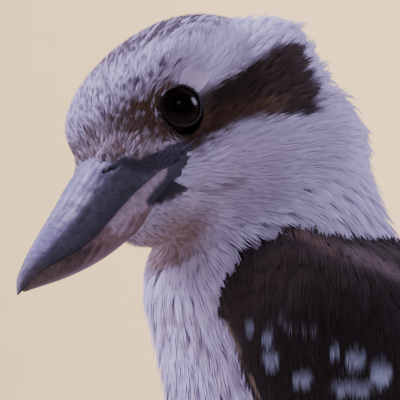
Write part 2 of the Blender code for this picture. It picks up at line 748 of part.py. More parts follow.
def tail(collection):
    """Tail stump with six pairs of long vanes, and short ones above and below."""
    root = np.array(TAIL_ROOT[0]) + HALF_GAP * unit(TAIL_ROOT[1])
    axis = np.array([math.cos(TAIL_SLOPE), 0.0, -math.sin(TAIL_SLOPE)])
    up = np.array([math.sin(TAIL_SLOPE), 0.0, math.cos(TAIL_SLOPE)])
    side = np.array([0.0, -1.0, 0.0])
    first = ring(root, TAIL_ROOT[1])
    middle = first.mean(axis=0)
    rings = [first]
    for along, wide, high in ((9.0, 1.0, 0.86), (19.0, 0.98, 0.6), (28.0, 0.9, 0.3)):
        rings.append(middle + axis * along + (first - middle) @ np.diag([1.0, wide, high]))
    obj = loft("tail", rings, collection)
    vanes = []

    def vane(along0, along1, sideways0, sideways1, height0, height1, half_width, inner_edge):
        shares = (0.0, 0.55, 0.92, 1.0)
        widths = (0.55, 0.95, 0.84, 0.4)
        grid = np.zeros((len(shares), 3, 3))
        for r, (share, width) in enumerate(zip(shares, widths)):
            along = along0 + (along1 - along0) * share
            middle_line = sideways0 + (sideways1 - sideways0) * share
            a, b = middle_line - half_width * width, middle_line + half_width * width
            if inner_edge is not None:
                a = max(a, inner_edge)
            for c, y in enumerate((a, (a + b) / 2, b)):
                back = 2.0 if share == 1.0 and c != 1 else 0.0
                height = height0 + (height1 - height0) * share - TAIL_CAMBER * (y / 25.0) ** 2
                grid[r, c] = middle + axis * (along - back) + side * y + up * height
        normals = np.broadcast_to(up, grid.shape).copy()
        return grid, normals, np.full(grid.shape[:2], VANE_THICKNESS)

    for number in range(RECTRIX_PAIRS):
        length = TAIL_LENGTH - 2.2 * number ** 1.5
        base = 1.2 + number * RECTRIX_SPREAD[0]
        end = RECTRIX_HALF_WIDTH - 1.0 + number * RECTRIX_SPREAD[1]
        level = 2.4 - number * VANE_STEP
        grid, normals, thick = vane(6.0, length, base + 4.5, end, level, level, RECTRIX_HALF_WIDTH, 0.2)
        for hand in (1, -1):
            mirror = np.array([1.0, hand, 1.0])
            vanes.append(sheet("rectrix", grid * mirror, normals, thick, collection))
    for level, count, reach_along, spread in ((3.4, 3, 40.0, 6.0), (-4.4, 4, 62.0, 5.0)):
        for k in range(count):
            sideways = (k - (count - 1) / 2) * spread
            step = VANE_STEP * (k % 2) * math.copysign(1.0, level)
            end = reach_along - abs(sideways) * 0.8
            grid, normals, thick = vane(4.0, end, sideways * 0.8, sideways * 1.2, level + step, level + step, 5.5, None)
            vanes.append(sheet("covert", grid, normals, thick, collection))
    combine(obj, vanes, "UNION", "MANIFOLD")
    obj.data.materials.append(material("rufous_plumage", 0.8))
    return obj


def over_floor(point, hand):
    """Millimetre space from the head's origin, of a point given by its height over the floor."""
    return np.array([point[0], -hand * point[1], point[2] - HEAD_HEIGHT / MM])


def leg(side_name, hand, inflated, collection):
    hip, knee, ankle = (over_floor(p, hand) for p in (HIP, KNEE, ANKLE))
    line = np.array([hip, (hip + knee) / 2, knee, (knee + ankle) / 2, ankle, ankle + 0.3 * (ankle - knee)])
    thigh = tube("thigh_" + side_name, line, THIGH_RADII, collection, 3)
    below = (over_floor((0.0, 0.0, ANKLE[2]), hand), np.array([0.0, 0.0, -1.0]))
    combine(thigh, inflated, "DIFFERENCE")
    combine(thigh, [block_beyond(below, collection)], "DIFFERENCE")
    thigh.data.materials.append(material("white_plumage", 0.9))
    foot = over_floor(FOOT, hand)
    shin = foot - ankle
    line = np.array([ankle - 0.15 * shin, ankle + 0.12 * shin, ankle + 0.3 * shin, ankle + 0.75 * shin, foot])
    tarsus = tube("foot_" + side_name, line, TARSUS_RADII, collection, 2)
    above = (over_floor((0.0, 0.0, ANKLE[2] - GAP), hand), np.array([0.0, 0.0, 1.0]))
    combine(tarsus, [block_beyond(above, collection)], "DIFFERENCE")
    toes = []
    centre_height = TOE_RADIUS - SOLE_CUT
    for number, (angle, length, claw_length) in enumerate(TOES):
        ahead = np.array([-math.cos(angle), -hand * math.sin(angle), 0.0])
        base = over_floor((FOOT[0], FOOT[1], centre_height + 0.4), hand)
        line = base + np.array([-1.0, 0.45 * length, 0.8 * length, length])[:, None] * ahead
        line[1:, 2] = centre_height - HEAD_HEIGHT / MM
        radii = TOE_RADIUS + np.array([0.3, 0.0, -0.1, -0.5])
        toes.append(tube("toe", line, radii, collection, 2))
        points = []
        radii = []
        for u in (-0.25, 0.0, 0.3, 0.6, 0.85, 1.0):
            arch = CLAW_ARCH * math.sin(math.pi * min(max(u, 0.0) * 1.15, 1.0)) - CLAW_DROP * max(u, 0.0)
            points.append(line[-1] + ahead * (GAP + claw_length * u) + np.array([0, 0, arch]))
            radii.append(CLAW_RADIUS * (1 - max(u, 0.0)) ** 0.8 + 0.22)
        claw = tube(f"claw_{side_name}_{number + 1}", np.array(points), radii, collection, 2)
        combine(claw, [block_beyond((line[-1] + ahead * GAP, -ahead), collection)], "DIFFERENCE")
        claw.data.materials.append(material("slate_horn", 0.35))
    combine(tarsus, toes, "UNION")
    floor = over_floor((0.0, 0.0, 0.0), hand)
    combine(tarsus, [block_beyond((floor, (0.0, 0.0, -1.0)), collection)], "DIFFERENCE")
    tarsus.data.materials.append(material("foot_skin", 0.6))


def stand_at_origin(collection):
    """Moves the bird so that the middle of its box's floor is the origin."""
    low = np.full(3, np.inf)
    high = -low
    for obj in collection.objects:
        for v in obj.data.vertices:
            low = np.minimum(low, v.co)
            high = np.maximum(high, v.co)
    shift = Matrix.Translation((-(low[0] + high[0]) / 2, -(low[1] + high[1]) / 2, -low[2]))
    for obj in collection.objects:
        obj.data.transform(shift)


def inflated_trunk(collection):
    return loft("inflated", trunk_rings(GAP), collection)


def inflated_neck(collection):
    rings = [ring(*plane, GAP) for plane in [NECK_TOP] + between(NECK_TOP, NECK_FOOT, 3) + [NECK_FOOT]]
    return loft("inflated", rings, collection)


def main():
    for obj in list(bpy.data.objects):
        bpy.data.objects.remove(obj)
    parts = bpy.data.collections.new("laughing_kookaburra")
    bpy.context.scene.collection.children.link(parts)
    head(parts)
    bill(parts)
    eyes(parts)
    neck = loft("neck", neck_rings(), parts)
    torso = loft("torso", trunk_rings(), parts)
    for obj in (neck, torso):
        obj.data.materials.append(material("white_plumage", 0.9))
    surface = WingSurface()
    for name, mirrored in (("wing_left", False), ("wing_right", True)):
        wing(name, mirrored, surface, [inflated_trunk(parts), inflated_neck(parts), round_head("inflated", GAP, parts)], parts)
    tail(parts)
    for side_name, hand in (("left", 1), ("right", -1)):
        leg(side_name, hand, [inflated_trunk(parts)], parts)
    for obj in parts.objects:
        obj.data.shade_smooth()
        obj.data.set_sharp_from_angle(angle=math.radians(40))
    stand_at_origin(parts)



main()
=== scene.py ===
"""Looks of a life-size laughing kookaburra: skin, feathers, bill, eyes and feet over its solids."""

import itertools
import math

import bpy
import numpy as np
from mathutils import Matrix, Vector


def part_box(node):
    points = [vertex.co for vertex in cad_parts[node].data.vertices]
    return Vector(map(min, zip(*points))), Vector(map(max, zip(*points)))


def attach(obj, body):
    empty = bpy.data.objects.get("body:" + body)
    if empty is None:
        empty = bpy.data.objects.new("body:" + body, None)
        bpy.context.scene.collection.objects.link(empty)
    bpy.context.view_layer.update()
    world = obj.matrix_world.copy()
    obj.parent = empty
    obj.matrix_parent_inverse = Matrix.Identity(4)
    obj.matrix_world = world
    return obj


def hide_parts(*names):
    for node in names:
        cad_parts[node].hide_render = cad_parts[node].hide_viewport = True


bl_info = {
    "name": "Laughing kookaburra",
    "version": (1, 0, 0),
    "blender": (4, 5, 0),
    "location": "View3D > Sidebar > Kookaburra",
    "description": "Builds the plumage, bill, eyes, feet and stage of a life-size kookaburra",
    "category": "Object",
}

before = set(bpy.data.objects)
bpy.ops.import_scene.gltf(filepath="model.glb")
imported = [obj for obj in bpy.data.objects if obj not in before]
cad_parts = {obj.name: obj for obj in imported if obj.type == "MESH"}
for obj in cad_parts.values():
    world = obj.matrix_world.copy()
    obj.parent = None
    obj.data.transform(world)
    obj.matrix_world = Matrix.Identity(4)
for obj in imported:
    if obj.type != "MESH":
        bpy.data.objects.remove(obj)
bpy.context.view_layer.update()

MM = 0.001

# Head pose and forms, in millimetres from the point between the eyes at the level of the mouth.
# Each form is forward, up, and half its length, width and height.
HEAD_YAW = math.radians(42)
HEAD_PITCH = math.radians(38)
HEAD_SIDEWAYS = np.array([0.0, -20.0, 0.0])
CRANIUM = (-9.8, 22.0, 31.7, 25.4, 15.6)
BROW = (15.0, 8.4, 15.9, 15.8, 13.4)
CHEEKS = (-13.0, -4.0, 26.0, 19.0, 11.0)
CHIN = (21.0, -5.5, 14.0, 9.3, 4.1)
HIND_HEAD = (-40.6, 7.2, 22.0, 21.3, 15.4)
THROAT = (17.0, -9.0, 14.0, 10.0, 8.0)
HEAD_FORMS = (CRANIUM, BROW, CHEEKS, CHIN, HIND_HEAD, THROAT)
HEAD_BLENDS = (0.0, 8.0, 10.0, 6.0, 12.0, 6.0)

# Neck and trunk: back, up, radius of each round form, and how narrow they are
NECK = (33.4, 1.9, 22.6)
TRUNK = (
    (29.0, -35.8, 36.7), (39.8, -63.4, 42.3), (64.1, -91.5, 42.1),
    (99.3, -110.4, 30.0), (143.0, -123.5, 12.5),
)
TRUNK_NARROWING = 1.20
NECK_NARROWING = 1.07
BODY_BLEND = 10.0
NECK_BLEND = 16.0
THIGH_BLEND = 6.0
SPINE = (
    (-20, 14), (2, 10), (23, -7.5), (30, -33), (46, -62), (72, -92), (108, -113), (141, -123),
    (175, -131),
)
# Where the head's plumage passes into the neck's, and the way down the neck from there
NECK_TOP = np.array([23.0, 0.0, -7.5])
NECK_WAY = np.array([0.52, 0.0, -0.84])

# Legs: back, side, height over the floor, radius
THIGH = (
    (77.0, 15.0, 72.0, 13.0), (70.5, 18.0, 61.0, 13.6), (64.0, 21.0, 50.0, 11.6),
    (68.0, 22.5, 38.0, 7.8), (70.0, 23.5, 29.6, 4.6),
)
FLOOR = -186.0

# Bill outlines: forward and up, or forward and half width
CULMEN_LINE = (
    (-2.5, 2.5), (3, 3.6), (8, 6.8), (14, 9.4), (22, 12.6), (27, 16.4), (35, 15.3), (49, 11.2),
    (61, 7.7), (72, 3.8), (77, 1.2), (79.5, -1.4),
)
MOUTH_LINE = (
    (-2.5, 1.8), (4, 1.7), (12, 1.4), (22, 1.2), (30, 0.8), (38, -0.4), (46, -1.7), (54, -2.4),
    (62, -1.6), (70, -0.8), (76, -1.4), (79.5, -2.0),
)
LOWER_LINE = (
    (-2.5, -1.2), (10, -6.0), (22, -8.2), (33, -8.9), (44, -8.9), (53, -7.9), (62, -6.2),
    (71, -3.9), (76, -2.6),
)
BILL_HALF_WIDTH = (
    (-2.5, 14.2), (12, 13.4), (27, 11.8), (43, 9.0), (58, 6.1), (70, 3.5), (77, 1.7), (79.5, 0.6),
)
RIDGE_SHARPNESS = ((-2.5, 0.62), (18, 0.62), (30, 1.0), (42, 1.2), (79.5, 1.2))
LOWER_SHARPNESS = 0.8
BILL_ROOT = -2.5
UPPER_TIP = 79.5
LOWER_TIP = 75.8
# Middle of the nostrils as forward and up, their direction, and their half length and height
NOSTRIL = (29.8, 10.3)
NOSTRIL_WAY = (0.97, 0.24)
NOSTRIL_HALF_SIZE = (2.6, 0.62)
NOSTRIL_DEPTH = 1.3
# Painted shade of the groove that runs on from the nostril towards the tip
NOSTRIL_GROOVE_SHADE = ((31.8, 10.6), (34.0, 9.9), (35.9, 9.3), (39.0, 8.0))

# Feathered pads beside the ridge of the bill's base, in the head's own directions
BILL_PAD = (24.0, 5.0, 12.0)
BILL_PAD_SIZE = (7.5, 5.0, 5.2)

# Eyes: the front of an eyeball, how far it looks forward, and the ring of the lids around it
EYE_RADIUS = 8.9
EYE_APEX = (1.0, 19.0, 12.2)
EYE_TURN = math.radians(16)
LID_DISTANCE = 6.7
LID_WIDTH = 6.1
BROW_CUT = 0.82

# Folded wing, along it from its start and down from the back's middle.
# A tier's lines give along, place of its first vane, and spacing of the next ones.
WING_START = (30.0, -45.0)
WING_SLOPE = math.radians(28)
WING_CONE = ((108.0, -90.0, 15.0), (196.0, -128.0, 4.5))
WING_CONE_WIDENING = 0.42
WING_KNOTS = np.arange(-48.0, 213.0, 10.0)
DOWN_KNOTS = np.arange(0.0, 112.0, 2.0)
SECONDARY_LINES = (
    (-30, 14, 7.2), (20, 14, 7.2), (50, 13, 6.5), (100, 8, 4.4), (135, 6, 2.8), (200, 5, 2.0),
)
PRIMARY_LINES = (
    (30, 38, 6.2), (60, 33, 5.8), (100, 20, 4.0), (132, 11, 2.6), (160, 6.5, 1.8), (200, 4.5, 1.4),
)
SECONDARY_TIPS = (126, 136, 138, 135, 131, 127, 122, 117, 112)
PRIMARY_TIPS = (150, 162, 173, 183, 191, 188)
GREATER_COVERT_TIPS = (88, 90, 90, 88, 86, 83, 80, 77, 74)
MEDIAN_COVERT_TIPS = (60, 62, 62, 60, 58, 56, 54, 51, 48)
SHOULDER_HEIGHTS = (
    (-20, 1.2), (-14, 3.6), (-4, 6.8), (8, 8.6), (16, 8.8), (24, 8.0), (36, 6.9), (46, 6.0),
    (54, 5.2), (61, 3.4), (68, 2.4),
)
SHOULDER_EDGE_HEIGHT = 0.9
SHOULDER_BULGE = ((0, 0.125, 0.25, 0.375, 0.625, 0.75, 0.875, 1), (0, 0.62, 0.9, 1, 1, 0.9, 0.6, 0))
SHOULDER_TOP = (
    (-20, 72), (-14, 62), (-8, 52), (0, 41), (8, 31), (20, 17), (36, 11), (68, 8),
)
SHOULDER_LOW_EDGE = ((-20, 79), (-14, 85), (-8, 88), (6, 88), (20, 86), (40, 79), (68, 67))
VANE_STEP = 0.82
TIER_STEP = 1.68
INNER_TIER_HEIGHT = 1.7
OUTER_TIER_RISE = 2.9
WING_VANE_THICKNESS = 0.32

# Tail
TAIL_ROOT = (141.0, 0.0, -123.0)
TAIL_SLOPE = math.radians(13.6)
TAIL_LENGTH = 155.0
RECTRIX_PAIRS = 6
RECTRIX_HALF_WIDTH = 10.5
TAIL_CAMBER = 1.6
TAIL_VANE_THICKNESS = 0.34

# Outlines of vanes: share of the length, and share of the half width
VANE_OUTLINE = (
    (0.0, 0.6), (0.2, 0.92), (0.55, 1.0), (0.8, 0.93), (0.92, 0.72), (0.975, 0.42), (1.0, 0.08),
)
COVERT_OUTLINE = ((0.0, 0.6), (0.3, 0.95), (0.6, 1.0), (0.8, 0.88), (0.93, 0.6), (1.0, 0.12))

# Coat: name, seed, width of a feather in millimetres, and strips in each
COAT_PIECES = (
    ("face_feathers", 21, 1.6, 6), ("crown_feathers", 22, 2.5, 7),
    ("neck_feathers", 23, 3.8, 8), ("trunk_feathers", 24, 5.4, 8),
)
FEATHER_KINDS = 8
PATCH = 0.003
SKIN_VOXEL = 0.0017
FOOT_VOXEL = 0.0005
WELD = 0.00002


def interpolate(line, x):
    """Height of an outline at x, with smooth slopes between its points."""
    xs = np.array([p[0] for p in line], float)
    ys = np.array([p[1] for p in line], float)
    slopes = np.gradient(ys, xs)
    x = np.clip(x, xs[0], xs[-1])
    i = np.clip(np.searchsorted(xs, x, side="right") - 1, 0, len(xs) - 2)
    span = xs[i + 1] - xs[i]
    u = (x - xs[i]) / span
    return (
        (1 + 2 * u) * (1 - u) ** 2 * ys[i]
        + u * (1 - u) ** 2 * span * slopes[i]
        + u * u * (3 - 2 * u) * ys[i + 1]
        + u * u * (u - 1) * span * slopes[i + 1]
    )


def step(x, low, high):
    """0 at low, 1 at high, and smooth between them."""
    u = np.clip((np.asarray(x, float) - low) / (high - low), 0, 1)
    return u * u * (3 - 2 * u)


def unit(v):
    """Vectors at a length of 1."""
    v = np.asarray(v, float)
    return v / np.maximum(np.linalg.norm(v, axis=-1, keepdims=True), 1e-9)


def head_axes():
    """The head's forward, left and up directions as rows."""
    cy, sy = math.cos(HEAD_YAW), math.sin(HEAD_YAW)
    cp, sp = math.cos(HEAD_PITCH), math.sin(HEAD_PITCH)
    return np.array([(-cy * cp, -sy, -cy * sp), (sy * cp, -cy, sy * sp), (-sp, 0.0, cp)])


HEAD_AXES = head_axes()


def from_head(point):
    return np.asarray(point, float) @ HEAD_AXES + HEAD_SIDEWAYS


def to_head(points):
    return (points - HEAD_SIDEWAYS) @ HEAD_AXES.T


def below_head(points):
    """How far down the neck points lie, from where the head's plumage ends."""
    return (points - NECK_TOP) @ NECK_WAY


def eye_axes(hand):
    """Across, up and outward directions of an eye."""
    out = np.array([math.sin(EYE_TURN), hand * math.cos(EYE_TURN), 0.0]) @ HEAD_AXES
    return np.array([np.cross(HEAD_AXES[2], out), HEAD_AXES[2], out])


def eye_apex(hand):
    return from_head((EYE_APEX[0], hand * EYE_APEX[1], EYE_APEX[2]))


def eye_centre(hand):
    return eye_apex(hand) - EYE_RADIUS * eye_axes(hand)[2]


def middle_of(node):
    """Middle of a CAD node's box, in metres."""
    low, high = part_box(node)
    return (np.array(low) + np.array(high)) / 2


# Where the millimetre sizes start, in the frame's metres, found from the two eyeballs
EYEBALLS = middle_of("eye_left") + middle_of("eye_right")
START = (EYEBALLS - (eye_centre(1) + eye_centre(-1)) * MM) / 2


def place(points):
    """Points in the frame's metres, from millimetres."""
    return np.asarray(points, float) * MM + START


def to_edge(points, a, b):
    """How far along a straight edge points lie, from 0 to 1, and their way from it."""
    edge = b - a
    t = np.clip(((points - a) @ edge) / (edge @ edge), 0, 1)
    return t, points - a - t[..., None] * edge


def ellipsoid(points, centre, half_sizes):
    """About the distance to an ellipsoid."""
    q = (points - centre) / half_sizes
    k0 = np.linalg.norm(q, axis=-1)
    k1 = np.linalg.norm(q / half_sizes, axis=-1)
    return k0 * (k0 - 1) / np.maximum(k1, 1e-9)


def cone(points, a, b, ra, rb):
    """Distance to a cone with round ends."""
    t, away = to_edge(points, np.asarray(a, float), np.asarray(b, float))
    return np.linalg.norm(away, axis=-1) - (ra + (rb - ra) * t)


def round_cone(points, a, b):
    return cone(points, (a[0], 0.0, a[1]), (b[0], 0.0, b[1]), a[2], b[2])


def blend(a, b, width):
    """Joins two distances, rounded where they meet."""
    h = np.maximum(width - np.abs(a - b), 0) / width
    return np.minimum(a, b) - h * h * width / 4


def neck_and_trunk(points):
    q = points * np.array([1, TRUNK_NARROWING, 1])
    d = round_cone(q, TRUNK[0], TRUNK[1])
    for a, b in zip(TRUNK[1:], TRUNK[2:]):
        d = blend(d, round_cone(q, a, b), BODY_BLEND)
    neck = round_cone(points * np.array([1, NECK_NARROWING, 1]), NECK, TRUNK[0])
    return blend(neck, d, BODY_BLEND)


def head_field(points):
    local = to_head(points)
    d = None
    for form, width in zip(HEAD_FORMS, HEAD_BLENDS):
        e = ellipsoid(local, np.array([form[0], 0.0, form[1]]), np.array(form[2:]))
        d = e if d is None else blend(d, e, width)
    return d


def flesh(points):
    """Distance from the plumage's outer surface, without bill, wings, tail and legs."""
    return blend(head_field(points), neck_and_trunk(points), NECK_BLEND)


def thigh_cones():
    """Ends and radii of the round cones of both thighs."""
    cones = []
    for hand in (1, -1):
        line = [(np.array([back, -hand * side, up + FLOOR]), r) for back, side, up, r in THIGH]
        cones += [(a, b, ra, rb) for (a, ra), (b, rb) in zip(line, line[1:])]
    return cones


def thighs(points):
    d = None
    for ends in thigh_cones():
        c = cone(points, *ends)
        d = c if d is None else np.minimum(d, c)
    return d


def body(points):
    return blend(flesh(points), thighs(points), THIGH_BLEND)


def lid_place(points, hand):
    """Height over an eye's front, and distance from its middle, greater under the brow."""
    out = eye_axes(hand)[2]
    away = points - eye_apex(hand)
    height = away @ out
    flat = away - height[..., None] * out
    return height, np.maximum(np.linalg.norm(flat, axis=-1), (flat @ HEAD_AXES[2]) / BROW_CUT)


def eye_hollow(points):
    """Distance out of the shallow cone that holds the lids, over both eyes."""
    levels = []
    for hand in (1, -1):
        height, off = lid_place(points, hand)
        levels.append((height + 2.3 - np.maximum(off - 6.4, 0) * 0.8) * 0.8)
    return np.maximum(*levels)


def coat_form(points):
    """Distance from the outer surface of the contour feathers."""
    local = to_head(points)
    d = body(points)
    for hand in (1, -1):
        pad = ellipsoid(local, np.array([1, hand, 1]) * BILL_PAD, np.array(BILL_PAD_SIZE))
        d = blend(d, pad, 2.0)
    return -blend(-d, -eye_hollow(points), 1.5)


def saddle(points):
    """The form that the folded wings lie on: the trunk, drawn out over the tail."""
    q = points * np.array([1, WING_CONE_WIDENING, 1])
    return blend(neck_and_trunk(points), round_cone(q, *WING_CONE), 8.0)


def slope_of(field, points):
    """Direction out of a form, at points near its surface."""
    offsets = np.eye(3) * 0.4
    return unit(np.stack([field(points + o) - field(points - o) for o in offsets], -1))


def settle_on(field, points, level, rounds=4):
    """Moves points along a form's slope until they lie at a level over it."""
    for _ in range(rounds):
        points = points - (field(points) - level)[:, None] * slope_of(field, points)
    return points


def linear(colour):
    """Linear red, green and blue of an sRGB hex colour."""
    parts = [int(colour[i:i + 2], 16) / 255 for i in (1, 3, 5)]
    return np.array([c / 12.92 if c <= 0.04045 else ((c + 0.055) / 1.055) ** 2.4 for c in parts])


def nearest_edge(points, outline):
    """Distance from the nearest of an outline's edges."""
    nearest = np.full(len(points), 1e9)
    for a, b in zip(outline, outline[1:]):
        nearest = np.minimum(nearest, np.linalg.norm(to_edge(points, a, b)[1], axis=1))
    return nearest


def spread(points, outline, soft):
    """1 inside a flat outline and 0 outside, soft over a few millimetres."""
    outline = np.array([*outline, outline[0]], float)
    inside = np.zeros(len(points), bool)
    for a, b in zip(outline, outline[1:]):
        edge = b - a
        crosses = (a[1] > points[:, 1]) != (b[1] > points[:, 1])
        x = a[0] + (points[:, 1] - a[1]) * edge[0] / (edge[1] if edge[1] else 1e-9)
        inside ^= crosses & (points[:, 0] < x)
    nearest = nearest_edge(points, outline)
    return step(np.where(inside, nearest, -nearest), -soft / 2, soft / 2)


def near_line(points, line, width):
    """1 on a flat line, falling to 0 at a distance."""
    return 1 - step(nearest_edge(points, np.array(line, float)), 0, width)


# Markings on the head's side, and the line of a painted shadow in the cheek's crease, as forward
# and up from between the eyes
EAR_PATCH = (
    (-6, 12.5), (-18.9, 11.4), (-26, 10.2), (-33, 9.6), (-42, 8.8), (-47, 8.4), (-49.5, 5.5),
    (-49, 1), (-46, -5.5), (-42.5, -9.5), (-35.5, -15), (-29, -11.7), (-26, -8.5), (-20, -5.3),
    (-13.5, -2.6), (-8.8, -1.0), (-3.4, 0.2), (2, 2.4), (7, 5.5), (9, 10), (4, 18), (-2, 18),
)
LORES = (
    (-2, 22), (6.2, 22.0), (10.9, 22.8), (15.4, 23.8), (19.4, 22.6), (20.2, 18.2), (18.8, 13.2),
    (14.6, 8.8), (11, 6.8), (5.2, 4.6), (-2, 2.0),
)
RUFOUS = ((-8, 8), (-16, 4), (-24, 0), (-30, -5), (-24, -8), (-14, -4), (-6, -1), (0, 3))
# Line of the cheek's crease, along which a shadow is painted
CHEEK_CREASE_SHADOW = ((9.4, -8.4), (8.0, -9.2), (2.7, -12.4), (-2.3, -13.8), (-7.6, -15.8))
MOTTLED = (
    (5, 1.5), (-1.7, 3.4), (-5.5, 1.8), (-12, 0.2), (-10, -3), (-5, -3.6), (1.8, -2.8), (5, -1.2),
)
MALAR_SKIN = (
    (27.8, -4.6), (24.3, -6.7), (19.1, -7.8), (11.0, -8.6), (13.6, -5.7), (14.3, -3.3),
    (10.6, -1.2), (6.8, 0.2), (1.4, 1.4), (2.0, 2.8), (9.5, 1.8), (14.5, 0.9), (18.3, -1.2),
    (23.4, -2.0), (28.0, -3.1),
)
GAPE_SKIN = ((4.4, 3.8), (-1.8, 3.4), (-1.6, -0.2), (3.2, -0.8))
BASE_SKIN = (
    (27.9, 10.0), (26.6, 11.6), (24.9, 11.3), (22.6, 7.9), (16.4, 6.1), (8.9, 5.2), (3.0, 3.7),
    (0.0, 2.0), (7.3, 0.8), (11.4, -0.6), (27.0, -0.6),
)
FACE_WASH = (
    (33, 8), (26.5, 10), (22, 6), (14, 5), (6, 5), (10, 10), (16, 14), (18, 20), (21, 24),
    (26, 24), (31, 18),
)
CROWN_HALF_WIDTH = (
    (-60, 3), (-48, 9), (-36, 14), (-28, 18.2), (-15.6, 20.8), (-9.3, 19.2), (-3.3, 16.8),
    (2.6, 13.0), (6, 7.5), (9, 0.2),
)
# Where the dark mantle and folded wing begin: down from the back's middle, and along the wing
MANTLE_FRONT = (
    (0, 25), (10, 20), (31, 8), (42, -1), (51, -8), (62, -14), (70, -16.5), (82, -17),
)
MANTLE_FOOT = (
    (-20, 79), (-14, 83), (6, 85), (20, 83), (40, 76), (68, 60), (100, 32), (140, 21),
)
# Where the wing's soft feathers root last: down from the back's middle, and along the wing
SOFT_COVERTS_END = ((0, 56), (14, 46), (30, 40), (60, 34), (90, 26))
# Pale feather tips on the wing's front: back, up, half width, half height and strength
PALE_TIPS = (
    (20.9, -47.3, 1.4, 2.2, 0.5), (26.1, -50.5, 1.8, 2.3, 0.65), (26.9, -56.6, 2.6, 2.4, 0.7),
    (36.2, -62.6, 3.0, 2.3, 0.65), (45.2, -54.3, 1.7, 1.7, 0.75), (51.6, -56.9, 3.0, 2.6, 0.85),
    (58.8, -60.9, 3.2, 3.8, 1.0), (50.7, -65.0, 5.8, 2.3, 0.75),
)
# Lines of paler feathers on the wing, the second also a painted sheen along the ridge of the wing's
# top: the line as back and up, its width, strength and colour
WING_BANDS_AND_SHEEN = (
    (((29.5, -43.3), (31.5, -47.4), (34.6, -49.4), (39.7, -48.7)), 0.9, 0.5, "#8A808E"),
    (((50.0, -26.0), (58.8, -29.2), (66.0, -33.5), (84.0, -45.0)), 3.4, 0.6, "#8F767D"),
    (((32.0, -19.6), (38.0, -21.0), (45.0, -25.0)), 3.2, 0.7, "#7A5F56"),
)
# Buff rim of the wing's low edge, as back and up
WING_RIM = ((14.2, -46.7), (19.0, -57.0), (24.6, -68.8))

SHADED_WHITE = linear("#C4B9CD")
RUFOUS_BROWN = linear("#7C5E49")
LORE_BROWN = linear("#5B4129")
WASH = linear("#95796F")
CHEEK_SHADE = linear("#BBADB8")
FLECK_BROWN = linear("#3E251D")
RUMP_BROWN = linear("#5A3B28")
BUFF = linear("#CDBFB4")
BARE_SKIN = linear("#443F4B")
PATCH_SKIN = linear("#25232A")
BILL_SKIN = linear("#3A3842")


def chosen(name):
    """One of the panel's colours, in linear red, green and blue."""
    return np.array(getattr(bpy.context.scene.kookaburra_colours, name))


def mix(a, b, share):
    """A colour moved towards another by a share at each point."""
    return a + (b - a) * np.asarray(share, float)[..., None]


def paint(colour, layers):
    """Lays tones over a colour, each by its own share at each point."""
    for tone, share in layers:
        colour = mix(colour, tone, share)
    return colour


def bare_share(side):
    """1 on the bare dark skin at the bill's base, for points in the head's own directions."""
    flat = side[:, [0, 2]]
    skin = np.maximum(spread(flat, MALAR_SKIN, 1.0), spread(flat, BASE_SKIN, 1.0))
    return skin * step(np.abs(side[:, 1]), 4, 6)


def shaft_streaks(points):
    """How dark the shaft of each white feather is: most on the forehead, near the bill."""
    side = to_head(points)
    share = step(side[:, 0], -14, 18) * step(side[:, 2], 2, 12)
    share = share * (1 - spread(side[:, [0, 2]], EAR_PATCH, 2.0))
    return share * step(30 - np.abs(side[:, 1]), 0, 4)


